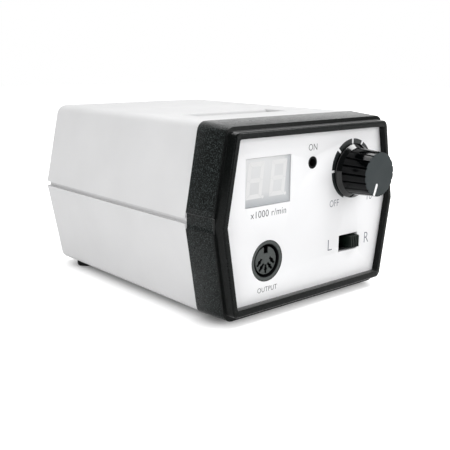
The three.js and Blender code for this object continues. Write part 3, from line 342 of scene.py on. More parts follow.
@dataclass(frozen=True)
class ErodedBlack:
    """Black plastic with a coarse eroded grain on its collar, a smoother rim and a softly edged band."""

    name: str
    colour: Colour
    crest: Colour
    roughness: float
    reflection: float
    band_middle: float
    band_half: float
    collar_front: float
    collar_fade: float = 1.5 * MM
    band_edge: float = 1.0
    band_relief: float = 0.42
    grain: float = 0.42
    relief: float = 0.05
    crest_span: Point2 = (0.5, 0.68)
    rim_crests: float = 0.1
    rim_roughness: float = 0.2
    scuff_size: float = 3.0
    scuffs: Point2 = (-0.08, 0.1)
    sheen: float = 0.38
    sheen_roughness: float = 0.35

    def build(self) -> bpy.types.Material:
        """Builds the material.

        Returns:
            The material.
        """
        shader = Shader(self.name, self.colour, self.roughness, Specular_IOR_Level=self.reflection,
                        Sheen_Weight=self.sheen, Sheen_Roughness=self.sheen_roughness)
        _, along, height = shader.split(shader.place())
        collar = (self.collar_front, self.collar_front + self.collar_fade)
        grain = shader.noise(self.grain)
        crests = shader.math("MULTIPLY", shader.spread(grain, 0.0, 1.0, *self.crest_span),
                             shader.spread(along, self.rim_crests, 1.0, *collar))
        shader.blend(crests, self.colour, self.crest)
        scuffs = shader.spread(shader.noise(self.scuff_size, Detail.FINEST),
                               *(self.roughness + step for step in self.scuffs))
        smooth = shader.spread(along, self.rim_roughness, 1.0, *collar)
        shader.feed(shader.surface.inputs["Roughness"], shader.math("MINIMUM", scuffs, smooth))
        shader.bump(grain, self.relief)
        reach = self.band_half + self.band_edge
        band = shader.window(height, (self.band_middle - reach, self.band_middle + reach),
                             (2 * self.band_edge,) * 2)
        sunk = shader.math("MINIMUM", band, shader.spread(along, 0.0, 1.0, *collar))
        shader.bump(shader.math("SUBTRACT", 1.0, sunk), self.band_relief)
        return shader.material


@dataclass(frozen=True)
class PolishedPlastic:
    """Smooth moulded plastic with a gloss that wavers a little and a few fine rubs."""

    name: str
    colour: Colour
    roughness: float
    wave: float = 0.004
    reflection: float = 0.5
    rub_size: float = 1.2
    rub_stretch: Point3 = (1.0, 0.25, 1.0)
    rubbing: Point2 = (0.85, 1.3)
    cloud_size: float = 9.0
    cloud: float = 1.04
    wave_size: float = 5.0

    def build(self) -> bpy.types.Material:
        """Builds the material.

        Returns:
            The material.
        """
        shader = Shader(self.name, self.colour, self.roughness, Specular_IOR_Level=self.reflection)
        rubs = shader.noise(self.rub_size, Detail.FINEST, self.rub_stretch)
        shader.blend(shader.spread(shader.noise(self.cloud_size), 0.0, 1.0), self.colour,
                     shaded(self.colour, self.cloud))
        shader.roughen(rubs, *(self.roughness * share for share in self.rubbing))
        shader.bump(shader.noise(self.wave_size, Detail.PLAIN), self.wave)
        return shader.material


@dataclass(frozen=True)
class SpunMetal:
    """Bare or plated metal with the fine lines that its making left."""

    name: str
    colour: Colour
    roughness: float
    lines: Point3 = (1.0, 12.0, 1.0)
    line_size: float = 1.5
    relief: float = 0.01
    wear: Point2 = (0.8, 1.3)
    cloud_size: float = 6.0
    cloud: float = 0.85

    def build(self) -> bpy.types.Material:
        """Builds the material.

        Returns:
            The material.
        """
        shader = Shader(self.name, self.colour, self.roughness, Metallic=1.0)
        lines = shader.noise(self.line_size, Detail.FINER, self.lines)
        shader.blend(shader.spread(shader.noise(self.cloud_size, Detail.FINE), 0.0, 1.0),
                     shaded(self.colour, self.cloud), self.colour)
        shader.roughen(lines, *(self.roughness * share for share in self.wear))
        shader.bump(lines, self.relief)
        return shader.material


@dataclass(frozen=True)
class Ink:
    """Screen-printed ink, a little thinner in places."""

    name: str
    colour: Colour
    thin: Colour
    roughness: float = 0.45
    patch_size: float = 0.5
    patch_span: Point2 = (0.35, 0.75)
    grain: float = 0.3
    relief: float = 0.004

    def build(self) -> bpy.types.Material:
        """Builds the material.

        Returns:
            The material.
        """
        shader = Shader(self.name, self.colour, self.roughness)
        patches = shader.spread(shader.noise(self.patch_size, Detail.FINE), 0.0, 1.0, *self.patch_span)
        shader.blend(patches, self.colour, self.thin)
        shader.bump(shader.noise(self.grain), self.relief)
        return shader.material


@dataclass(frozen=True)
class DiffuserFace:
    """The light grey face of the display, with painted shade darker towards its right and lower edges."""

    name: str
    colour: Colour
    shadow: Colour
    right_edge: float
    lower_edge: float
    side_fade: float = 3.8
    foot_fade: float = 5.6
    roughness: float = 0.32
    wave_size: float = 2.5
    wave: float = 0.003

    def build(self) -> bpy.types.Material:
        """Builds the material.

        Returns:
            The material.
        """
        shader = Shader(self.name, self.colour, self.roughness)
        x, _, z = shader.split(shader.place())
        right = shader.spread(x, 0.0, 1.0, (self.right_edge - self.side_fade) * MM, self.right_edge * MM)
        foot = shader.spread(z, 1.0, 0.0, self.lower_edge * MM, (self.lower_edge + self.foot_fade) * MM)
        # Painted shade: the face blends towards the shadow colour near its right and lower edges.
        shader.blend(shader.math("MAXIMUM", right, foot), self.colour, self.shadow)
        shader.bump(shader.noise(self.wave_size), self.wave)
        return shader.material


@dataclass(frozen=True)
class ClearLens:
    """Tinted clear plastic or glass."""

    name: str
    colour: Colour
    roughness: float
    clearness: float
    refraction: float = 1.49
    wave_size: float = 2.0
    wave: float = 0.003

    def build(self) -> bpy.types.Material:
        """Builds the material.

        Returns:
            The material.
        """
        shader = Shader(self.name, self.colour, self.roughness, Transmission_Weight=self.clearness,
                        IOR=self.refraction)
        shader.bump(shader.noise(self.wave_size, Detail.PLAIN), self.wave)
        return shader.material


@dataclass(frozen=True)
class Layered:
    """Stacked sheets or wound tape: stripes across one axis."""

    name: str
    colour: Colour
    gap: Colour
    roughness: float
    pitch: float
    metallic: float = 0.0
    waver: float = 0.3
    relief: float = 0.05

    def build(self) -> bpy.types.Material:
        """Builds the material.

        Returns:
            The material.
        """
        shader = Shader(self.name, self.colour, self.roughness, Metallic=self.metallic)
        wave = shader.add("ShaderNodeTexWave", settings={"bands_direction": "Y"}, Vector=shader.place(),
                          Scale=1.0 / (self.pitch * MM * FULL_TURN), Distortion=self.waver).outputs["Fac"]
        shader.blend(wave, self.gap, self.colour)
        shader.bump(wave, self.relief)
        return shader.material


Finish = (MouldedPlastic | ErodedBlack | PolishedPlastic | SpunMetal | Ink | DiffuserFace | ClearLens
          | Layered)
PANEL_FACE = depth_of("front_panel", True)

WHITE_CASE = CasePlastic("white_case", (0.80, 0.80, 0.805), 0.52, reflection=0.3)
WHITE_REAR = MouldedPlastic("white_rear", (0.80, 0.80, 0.805), 0.52, reflection=0.3)
BLACK_BEZEL = ErodedBlack("black_bezel", (0.0015, 0.0022, 0.002), (0.060, 0.073, 0.072), 0.34, 0.12,
                          SEAM, 3.4, RIM_FRONT + 4.6 * MM)
WHITE_PANEL = MouldedPlastic("white_panel", (0.84, 0.84, 0.85), 0.42, 0.8, 0.003, 0.01, 0.04)
KNOB_GLOSS = PolishedPlastic("knob_gloss", (0.0008, 0.0012, 0.0014), 0.12, 0.003, 0.14)
SKIRT_GLOSS = PolishedPlastic("skirt_gloss", (0.0015, 0.002, 0.0022), 0.07, 0.002, 0.5)
KNOB_CAP = MouldedPlastic("knob_cap", (0.030, 0.038, 0.040), 0.55, 0.25, 0.008, 0.06, 0.06, 0.25)
POINTER_WHITE = PolishedPlastic("pointer", (0.86, 0.86, 0.87), 0.4)
SOCKET_GREY = MouldedPlastic("socket_grey", (0.062, 0.070, 0.067), 0.5, 0.3, 0.006, 0.06, 0.06, 0.3)
BLACK_PART = MouldedPlastic("black_part", (0.005, 0.0055, 0.006), 0.5, 0.3, 0.008, 0.08, 0.06, 0.2)
SLIDER_BLACK = MouldedPlastic("slider", (0.002, 0.006, 0.004), 0.42, 0.3, 0.006, 0.08, 0.06, 0.25)
RUBBER = MouldedPlastic("foot_rubber", (0.007, 0.007, 0.007), 0.85, 0.5, 0.02, 0.1, 0.06, 0.2)
LED_LENS = ClearLens("led_lens", (0.25, 0.02, 0.015), 0.08, 0.35)
FUSE_GLASS = ClearLens("fuse_glass", (0.9, 0.94, 0.94), 0.03, 0.95)
STEEL = SpunMetal("steel", (0.6, 0.61, 0.62), 0.32)
BRASS = SpunMetal("brass", (0.75, 0.58, 0.28), 0.3)
ALUMINIUM = SpunMetal("aluminium", (0.66, 0.67, 0.68), 0.38)
BOARD = PolishedPlastic("circuit_board", (0.02, 0.14, 0.06), 0.3)
TAPE = Layered("coil_tape", (0.72, 0.48, 0.05), (0.6, 0.38, 0.03), 0.35, 3.0)
LAMINATIONS = Layered("laminations", (0.25, 0.26, 0.27), (0.06, 0.06, 0.07), 0.45, 0.5, 1.0)
PRINT = Ink("printing", (0.02, 0.021, 0.026), (0.06, 0.062, 0.07))
PALE_PRINT = Ink("pale_printing", (0.11, 0.115, 0.15), (0.19, 0.195, 0.23))
DIAL_PRINT = Ink("dial_printing", (0.007, 0.010, 0.010), (0.018, 0.023, 0.024))
SEGMENT = PolishedPlastic("display_segment", (0.67, 0.67, 0.67), 0.4)


@cache
def material_of(finish: Finish) -> bpy.types.Material:
    """Returns the material of a finish, built once."""
    return finish.build()


def linked(name: str, data: bpy.types.ID) -> Piece:
    """Puts a new object into the scene.

    Args:
        name: Its name.
        data: Its mesh, writing, lamp or camera.

    Returns:
        The object.
    """
    made = bpy.data.objects.new(name, data)
    bpy.context.scene.collection.objects.link(made)
    return made


def tidy_mesh(mesh: bpy.types.Mesh) -> None:
    """Merges a mesh's doubles and turns its faces out.

    Args:
        mesh: The mesh.
    """
    work = bmesh.new()
    work.from_mesh(mesh)
    bmesh.ops.remove_doubles(work, verts=work.verts, dist=MERGE)
    bmesh.ops.recalc_face_normals(work, faces=work.faces)
    work.to_mesh(mesh)
    work.free()


class Draft:
    """A mesh in the making, drawn in millimetres with y from the rim's front face."""

    def __init__(self) -> None:
        """Starts an empty draft."""
        self.points: list[Vector] = []
        self.faces: list[tuple[int, ...]] = []

    def ring(self, outline: Iterable[Point2], y: float) -> list[int]:
        """Adds the points of an outline.

        Args:
            outline: The outline in x and z.
            y: Where it lies.

        Returns:
            The points' numbers.
        """
        start = len(self.points)
        self.points.extend(in_frame((x, y, z)) for x, z in outline)
        return list(range(start, len(self.points)))

    def bridge(self, first: Sequence[int], second: Sequence[int]) -> None:
        """Joins two closed rings of as many points with quads.

        Args:
            first: The first ring's points.
            second: The second ring's points.
        """
        for i, number in enumerate(first):
            j = (i + 1) % len(first)
            self.faces.append((number, first[j], second[j], second[i]))

    def prism(self, outline: Sequence[Point2], front: float, back: float) -> "Draft":
        """Adds a straight solid.

        Args:
            outline: Its outline in x and z.
            front: The y of its one end.
            back: The y of its other end.

        Returns:
            This draft.
        """
        ends = [self.ring(outline, y) for y in (front, back)]
        self.bridge(*ends)
        self.faces.extend(tuple(end) for end in ends)
        return self

    def box(self, low: Point3, high: Point3) -> "Draft":
        """Adds a box between two corners."""
        outline = [(low[0], low[2]), (high[0], low[2]), (high[0], high[2]), (low[0], high[2])]
        return self.prism(outline, low[1], high[1])

    def build(self, name: str) -> Piece:
        """Makes a piece at the origin, its doubles merged and its faces turned out.

        Args:
            name: The piece's name.

        Returns:
            The piece.
        """
        mesh = bpy.data.meshes.new(name)
        mesh.from_pydata(self.points, [], self.faces)
        tidy_mesh(mesh)
        return linked(name, mesh)


def turned(name: str, axis: Axis, profile: Sequence[Point2], sides: int) -> Piece:
    """Makes a piece turned about an axis.

    Args:
        name: The piece's name.
        axis: The axis.
        profile: Points of radius and y, from the axis back to the axis, or closed on itself.
        sides: How many facets it has.

    Returns:
        The piece.
    """
    draft = Draft()
    angles = [FULL_TURN * i / sides for i in range(sides)]
    rings = [draft.ring([axis.around(radius, a) for a in angles], y) for radius, y in profile]
    for pair in zip(rings, rings[1:]):
        draft.bridge(*pair)
    if profile[0][0] > 0:
        draft.bridge(rings[-1], rings[0])
    return draft.build(name)


def plain_mesh(piece: Piece) -> bpy.types.Mesh:
    """Returns a new mesh of a piece or writing as it shows."""
    graph = bpy.context.evaluated_depsgraph_get()
    return bpy.data.meshes.new_from_object(piece.evaluated_get(graph), depsgraph=graph)


def settle(piece: Piece) -> Piece:
    """Turns a piece's modifiers into plain mesh and removes them.

    Args:
        piece: The piece.

    Returns:
        The piece.
    """
    mesh = plain_mesh(piece)
    piece.modifiers.clear()
    old = piece.data
    piece.data = mesh
    bpy.data.meshes.remove(old)
    mesh.name = piece.name
    return piece


def carve(piece: Piece, cutter: Piece) -> None:
    """Cuts a piece with another one and removes the other.

    Args:
        piece: The piece.
        cutter: The other one.
    """
    modifier = piece.modifiers.new("carve", "BOOLEAN")
    modifier.object = cutter
    modifier.solver = "EXACT"
    settle(piece)
    bpy.data.objects.remove(cutter, do_unlink=True)


def soften(piece: Piece, width: float, segments: int = 2) -> None:
    """Rounds a piece's sharp edges.

    Args:
        piece: The piece.
        width: The width of the rounding, in millimetres.
        segments: How many facets the rounding has.
    """
    modifier = piece.modifiers.new("edges", "BEVEL")
    modifier.width = width * MM
    modifier.segments = segments
    modifier.limit_method = "ANGLE"
    modifier.angle_limit = SHARP_ANGLE
    modifier.use_clamp_overlap = True
    modifier.miter_outer = "MITER_ARC"
    settle(piece)


def dress(piece: Piece, finish: Finish, *nodes: str, slot: str = "", body: Body = Body.CASE,
          smooth: float = 32.0) -> None:
    """Gives a finished piece its material and its body, hides the CAD nodes that it stands for, and logs it.

    Args:
        piece: The piece, at the origin.
        finish: Its finish.
        *nodes: The CAD nodes that it stands for.
        slot: Not used.
        body: The body that it rides on.
        smooth: The largest angle between faces that shade as one, in degrees.
    """
    mesh = piece.data
    mesh.materials.clear()
    mesh.materials.append(material_of(finish))
    mesh.polygons.foreach_set("use_smooth", [True] * len(mesh.polygons))
    mesh.polygons.foreach_set("material_index", [0] * len(mesh.polygons))
    mesh.set_sharp_from_angle(angle=math.radians(smooth))
    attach(piece, body.value)
    if nodes:
        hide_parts(*nodes)
    LOG.info("%s: %d faces on %s", piece.name, len(mesh.polygons), body.value)


def refine(node: str, finish: Finish, width: float, segments: int = 2, name: str = "",
           **options: object) -> None:
    """Replaces a CAD node by a fine copy, with its flat faces merged and its edges rounded.

    Args:
        node: The CAD node.
        finish: The copy's finish.
        width: The width of the edges' rounding, in millimetres.
        segments: How many facets the rounding has.
        name: The copy's name, where it isn't made from the node's.
        **options: What else dress is told.
    """
    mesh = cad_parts[node].data.copy()
    work = bmesh.new()
    work.from_mesh(mesh)
    bmesh.ops.remove_doubles(work, verts=work.verts, dist=MERGE)
    bmesh.ops.dissolve_limit(work, angle_limit=FLAT_ANGLE, verts=work.verts, edges=work.edges)
    bmesh.ops.triangulate(work, faces=[face for face in work.faces if len(face.verts) > 4])
    work.to_mesh(mesh)
    work.free()
    piece = linked(name or f"fine_{node}", mesh)
    soften(piece, width, segments)
    dress(piece, finish, node, **options)


def paint(finish: Finish, *nodes: str) -> None:
    """Gives CAD nodes a finish.

    Args:
        finish: The finish.
        *nodes: The nodes.
    """
    for node in nodes:
        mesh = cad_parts[node].data
        mesh.materials.clear()
        mesh.materials.append(material_of(finish))
        LOG.info("%s: painted %s", node, finish.name)


class Recipe(Nodes):
    """A Geometry Nodes tree in the making, with named inputs for its sizes."""

    def __init__(self, name: str, finish: Finish) -> None:
        """Starts a tree that ends in plain geometry with a finish.

        Args:
            name: The tree's name.
            finish: The finish of what it makes.
        """
        super().__init__(bpy.data.node_groups.new(name, "GeometryNodeTree"))
        for way in ("INPUT", "OUTPUT"):
            self.tree.interface.new_socket("Geometry", in_out=way, socket_type="NodeSocketGeometry")
        self.group = self.add("NodeGroupInput")
        self.finish = finish

    def size(self, name: str, kind: str = "Float") -> Socket:
        """Adds a named input and returns the socket that gives it."""
        self.tree.interface.new_socket(name, in_out="INPUT", socket_type=f"NodeSocket{kind}")
        return self.group.outputs[name]

    def vector(self, operation: str, *sources: object, **inputs: object) -> Socket:
        """Adds a vector sum and returns its result."""
        made = self.add("ShaderNodeVectorMath", *sources, settings={"operation": operation}, **inputs)
        return made.outputs["Vector"]

    def copies(self, count: Socket, places: Socket, piece: Socket, **inputs: object) -> None:
        """Ends the tree in copies of a piece, one at each of so many places."""
        points = self.add("GeometryNodePoints", count, places).outputs[0]
        self.end(self.add("GeometryNodeInstanceOnPoints", points, Instance=piece, **inputs).outputs[0])

    def end(self, geometry: Socket) -> None:
        """Ends the tree: what repeats becomes plain geometry and gets its material.

        Args:
            geometry: The socket that gives the geometry.
        """
        real = self.add("GeometryNodeRealizeInstances", geometry).outputs[0]
        coloured = self.add("GeometryNodeSetMaterial", real, Material=material_of(self.finish))
        self.add("NodeGroupOutput", coloured.outputs[0])

    def apply(self, piece: Piece, **sizes: object) -> Piece:
        """Runs the tree on a piece and keeps the plain mesh.

        Args:
            piece: The piece whose mesh the tree takes.
            **sizes: The inputs by name, with spaces written as underscores.

        Returns:
            The piece.
        """
        modifier = piece.modifiers.new(self.tree.name, "NODES")
        modifier.node_group = self.tree
        for item in self.tree.interface.items_tree:
            key = item.name.replace(" ", "_")
            if item.in_out == "INPUT" and key in sizes:
                modifier[item.identifier] = sizes[key]
        return settle(piece)


def row_recipe(name: str, finish: Finish) -> Recipe:
    """Makes a tree that sets copies in a straight row.

    Args:
        name: The tree's name.
        finish: The finish of the copies.

    Returns:
        The tree, with the inputs Count and Step.
    """
    recipe = Recipe(name, finish)
    count = recipe.size("Count", "Int")
    step = recipe.size("Step", "Vector")
    index = recipe.add("GeometryNodeInputIndex").outputs[0]
    recipe.copies(count, recipe.vector("SCALE", step, Scale=index), recipe.group.outputs["Geometry"])
    return recipe


def ring_recipe(name: str, finish: Finish) -> Recipe:
    """Makes a tree that sets copies round an axis along y.

    Args:
        name: The tree's name.
        finish: The finish of the copies.

    Returns:
        The tree, with the inputs Count, Start Angle, Step Angle, Centre, Arm and Lean. Arm leads from
        Centre to the piece, and goes round clockwise as seen from the front. A copy leans with its arm,
        but by no more than Lean.
    """
    recipe = Recipe(name, finish)
    count = recipe.size("Count", "Int")
    start, step, lean = (recipe.size(size) for size in ("Start Angle", "Step Angle", "Lean"))
    centre, arm = (recipe.size(size, "Vector") for size in ("Centre", "Arm"))
    index = recipe.add("GeometryNodeInputIndex").outputs[0]
    angle = recipe.math("ADD", start, recipe.math("MULTIPLY", index, step))
    least = recipe.math("MULTIPLY", lean, -1.0)
    leaning = recipe.math("MAXIMUM", recipe.math("MINIMUM", angle, lean), least)
    turns = []
    for value in (angle, leaning):
        euler = recipe.add("ShaderNodeCombineXYZ", 0.0, value, 0.0).outputs[0]
        turns.append(recipe.add("FunctionNodeEulerToRotation", euler).outputs[0])
    swung = recipe.add("FunctionNodeRotateVector", arm, turns[0]).outputs[0]
    home = recipe.vector("SUBTRACT", (0.0, 0.0, 0.0), recipe.vector("ADD", centre, arm))
    moved = recipe.add("GeometryNodeSetPosition", recipe.group.outputs["Geometry"], Offset=home).outputs[0]
    recipe.copies(count, recipe.vector("ADD", centre, swung), moved, Rotation=turns[1])
    return recipe


def flute_recipe(name: str, finish: Finish) -> Recipe:
    """Makes a tree that presses narrow grooves into a round body whose axis runs along y.

    Args:
        name: The tree's name.
        finish: The finish of the body.

    Returns:
        The tree, with the inputs Centre, Count, Depth and Groove Share.
    """
    recipe = Recipe(name, finish)
    centre = recipe.size("Centre", "Vector")
    count = recipe.size("Count", "Int")
    depth, share = (recipe.size(size) for size in ("Depth", "Groove Share"))
    place = recipe.add("GeometryNodeInputPosition").outputs[0]
    apart = recipe.vector("MULTIPLY", recipe.vector("SUBTRACT", place, centre), (1.0, 0.0, 1.0))
    x, _, z = recipe.split(apart)
    turns = recipe.math("DIVIDE", recipe.math("MULTIPLY", recipe.math("ARCTAN2", x, z), count), FULL_TURN)
    from_groove = recipe.math("ABSOLUTE", recipe.math("SUBTRACT", recipe.math("FRACT", turns), 0.5))
    groove = recipe.eased(from_groove, 0.0, recipe.math("DIVIDE", share, 2.0), 1.0, 0.0)
    press = recipe.math("MULTIPLY", groove, recipe.math("MULTIPLY", depth, -1.0))
    inward = recipe.vector("SCALE", recipe.vector("NORMALIZE", apart), Scale=press)
    pressed = recipe.add("GeometryNodeSetPosition", recipe.group.outputs["Geometry"], Offset=inward)
    recipe.end(pressed.outputs[0])
    return recipe


def rounded(radius: float, y: float, edge: float, steps: int) -> list[Point2]:
    """Lists radius and y of a quarter-round edge in so many steps, from the end face to the side."""
    turn = [math.pi / 2 * i / steps for i in range(steps + 1)]
    return [(radius - edge + edge * math.sin(a), y + edge * (1 - math.cos(a))) for a in turn]


@dataclass(frozen=True)
class Case:
    """The two white shells, with their feet and screws."""

    edge: float = 0.35
    foot_radius: float = 4.0
    foot_dome: float = 0.9
    dome_steps: int = 5
    foot_sides: int = 48

    def build(self) -> None:
        """Makes the shells and feet, and paints the screws, which sit deep in their posts."""
        for shell in ("upper_shell", "lower_shell"):
            refine(shell, WHITE_CASE, self.edge)
        corners = [f"{front}_{side.name.lower()}" for front in ("front", "rear") for side in Side]
        for corner in corners:
            self.foot(f"foot_{corner}")
        paint(STEEL, *(f"case_screw_{corner}" for corner in corners))

    def foot(self, node: str) -> None:
        """Makes one domed rubber foot where a CAD node has it.

        Args:
            node: The CAD node.
        """
        low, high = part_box(node)
        height = (high.z - low.z) / MM
        profile = [(0.0, 0.0), *rounded(self.foot_radius, 0.0, self.foot_dome, self.dome_steps),
                   (self.foot_radius, height), (0.0, height)]
        piece = turned(f"fine_{node}", Axis(0.0, 0.0), profile, self.foot_sides)
        centre = (low + high) / 2
        upright = Matrix.Rotation(math.pi / 2, 4, "X") @ Matrix.Translation((0.0, -RIM_FRONT, 0.0))
        piece.data.transform(Matrix.Translation((centre.x, centre.y, low.z)) @ upright)
        dress(piece, RUBBER, node)


@dataclass(frozen=True)
class Bezel:
    """The black bezel round the front."""

    edge: float = 0.28
    edge_steps: int = 3

    def build(self) -> None:
        """Makes the bezel."""
        refine("front_bezel", BLACK_BEZEL, self.edge, self.edge_steps)


@dataclass(frozen=True)
class Legend:
    """A printed word on the front panel."""

    text: str
    name: str
    x: float
    z: float
    width: float
    height: float
    ink: Ink = PALE_PRINT
    weight: float = -0.012
    film: float = 0.02
    clear: float = 0.005
    thickness: float = 0.01
    spacing: float = 1.06
    steps: int = 6

    def build(self) -> None:
        """Prints the word."""
        curve = bpy.data.curves.new(self.name, "FONT")
        curve.body = self.text
        curve.align_x = "CENTER"
        curve.extrude = self.thickness
        curve.resolution_u = self.steps
        curve.offset = self.weight
        curve.space_character = self.spacing
        writing = linked(self.name, curve)
        mesh = plain_mesh(writing)
        bpy.data.objects.remove(writing, do_unlink=True)
        spots = [vertex.co for vertex in mesh.vertices]
        low, high = (Vector([pick(spot[i] for spot in spots) for i in range(3)]) for pick in (min, max))
        size = high - low
        centre = (low + high) / 2
        for vertex in mesh.vertices:
            x = self.x + (vertex.co.x - centre.x) * self.width / size.x
            z = self.z + (vertex.co.y - centre.y) * self.height / size.y
            y = PANEL_FACE - (vertex.co.z - low.z) * self.film / size.z - self.clear
            vertex.co = in_frame((x, y, z))
        tidy_mesh(mesh)
        dress(linked(self.name, mesh), self.ink, slot="knob_cap")


@dataclass(frozen=True)
class DialRing:
    """The printed ring round the speed knob, cut into bars, a little above the knob's axis."""

    aside: float = -0.13
    rise: float = 0.75
    inner: float = 11.2
    outer: float = 13.5
    gap: float = 1.15
    film: float = 0.02
    clear: float = 0.004
    facet: float = 3.0
    fewest_facets: int = 4
    marks: tuple[float, ...] = (-160.0, -90.5, -46.0, -1.0, 29.0, 56.0, 81.0, 104.0, 124.0, 140.0)

    def build(self) -> None:
        """Prints the ring."""
        draft = Draft()
        knob = Axis.of("speed_knob")
        axis = Axis(knob.x + self.aside, knob.z + self.rise)
        half_gap = math.degrees(self.gap / 2 / self.outer)
        for first, last in zip(self.marks, self.marks[1:]):
            outline = self.bar(axis, first + half_gap, last - half_gap)
            ends = [draft.ring(outline, PANEL_FACE - film) for film in (self.film, self.clear)]
            draft.bridge(*ends)
            for end in ends:
                quads = range(len(end) // 2 - 1)
                draft.faces += [(end[i], end[i + 1], end[-2 - i], end[-1 - i]) for i in quads]
        dress(draft.build("dial_ring"), DIAL_PRINT, slot="knob_cap")

    def bar(self, axis: Axis, first: float, last: float) -> list[Point2]:
        """Outlines one bar.

        Args:
            axis: The ring's axis.
            first: The angle where it starts, clockwise from the top, in degrees.
            last: The angle where it ends, in degrees.

        Returns:
            The outline, along the outer edge and back along the inner one.
        """
        steps = max(self.fewest_facets, round((last - first) / self.facet))
        angles = [math.radians(first + (last - first) * i / steps) for i in range(steps + 1)]
        outer = [axis.around(self.outer, angle) for angle in angles]
        return outer + [axis.around(self.inner, angle) for angle in reversed(angles)]


@dataclass(frozen=True)
class FrontPanel:
    """The white panel with its printing."""

    edge: float = 0.12
    legends: tuple[Legend, ...] = (
        Legend("x1000 r/min", "legend_speed", -25.35, 44.7, 20.0, 2.8, PRINT, -0.006),
        Legend("ON", "legend_on", -0.1, 69.4, 5.2, 2.7, PRINT, -0.008),
        Legend("OFF", "legend_off", 14.95, 43.5, 5.9, 3.0),
        Legend("10", "legend_full", 39.4, 43.6, 3.4, 2.4),
        Legend("OUTPUT", "legend_output", -25.3, 12.5, 11.2, 2.1, PRINT, -0.006),
        Legend("L", "legend_left", 13.15, 24.8, 2.7, 4.9),
        Legend("R", "legend_right", 38.65, 24.5, 3.1, 4.9),
    )

    def build(self) -> None:
        """Makes the panel and prints it."""
        refine("front_panel", WHITE_PANEL, self.edge)
        for printed in (*self.legends, DialRing()):
            printed.build()


@dataclass(frozen=True)
class Display:
    """The two-digit display, unlit."""

    digits: int = 2
    digit_pitch: float = 12.8
    digit_width: float = 8.6
    digit_height: float = 14.7
    bar: float = 1.85
    seam: float = 0.1
    slant: float = 0.11
    raised: float = 0.03
    edge: float = 0.05
    point_radius: float = 0.65
    point_rise: float = 0.6
    point_sides: int = 16
    digit_shift: float = -0.75
    digit_rise: float = 0.9
    pale: Colour = (0.625, 0.63, 0.635)
    shadow: Colour = (0.40, 0.42, 0.44)

    def build(self) -> None:
        """Makes the display's body, digits and points."""
        low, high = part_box("display_module")
        face = DiffuserFace("display_face", self.pale, self.shadow, high.x / MM, low.z / MM)
        refine("display_module", face, self.edge, name="fine_display")
        axis = Axis.of("display_module")
        y = depth_of("display_module", True)
        draft = Draft()
        left = axis.x - self.digit_pitch / 2 + self.digit_shift
        for outline in (*self.segments(), self.point()):
            placed = [(left + x + self.slant * z, axis.z + self.digit_rise + z) for x, z in outline]
            draft.prism(placed, y - self.raised, y + self.raised)
        piece = draft.build("display_digits")
        step = (self.digit_pitch * MM, 0.0, 0.0)
        row_recipe("digits_in_a_row", SEGMENT).apply(piece, Count=self.digits, Step=step)
        dress(piece, SEGMENT, slot="display_face")
        paint(BOARD, "display_board")

    def segments(self) -> list[list[Point2]]:
        """Outlines a digit's seven bars about its middle.

        Returns:
            The outlines.
        """
        w, h = self.digit_width / 2, self.digit_height / 2
        bar, seam = self.bar, self.seam
        inner = w - bar
        lid = [(-w + seam, h), (w - seam, h), (inner - seam, h - bar), (-inner + seam, h - bar)]
        leg = [(w, h - seam), (w, seam), (w - bar / 2, seam), (inner, bar / 2 + seam),
               (inner, h - bar - seam)]
        tip, end, rise = w - bar / 2 - seam, inner - seam / 2, (bar - seam) / 2
        cross = [(tip, 0.0), (end, rise), (-end, rise), (-tip, 0.0), (-end, -rise), (end, -rise)]
        legs = [[(sx * x, sz * z) for x, z in leg] for sx in (-1, 1) for sz in (-1, 1)]
        return [lid, [(x, -z) for x, z in lid], cross, *legs]

    def point(self) -> list[Point2]:
        """Outlines a digit's decimal point.

        Returns:
            The outline.
        """
        x = self.digit_width / 2 + self.point_radius
        z = -self.digit_height / 2 + self.point_radius * self.point_rise
        turn = [FULL_TURN * i / self.point_sides for i in range(self.point_sides)]
        return [(x + self.point_radius * math.cos(a), z + self.point_radius * math.sin(a)) for a in turn]


@dataclass(frozen=True)
class PilotLight:
    """The unlit pilot light behind its hole."""

    radius: float = 1.5
    flange_radius: float = 1.7
    flange: float = 1.0
    dome_steps: int = 8
    sides: int = 40

    def build(self) -> None:
        """Makes the lens and paints its holder."""
        tip, back = (depth_of("power_led", front) for front in (True, False))
        seat = back - self.flange
        profile = [*rounded(self.radius, tip, self.radius, self.dome_steps), (self.radius, seat),
                   (self.flange_radius, seat), (self.flange_radius, back), (0.0, back)]
        dress(turned("pilot_lens", Axis.of("power_led"), profile, self.sides), LED_LENS, "power_led")
        paint(BLACK_PART, "led_holder")


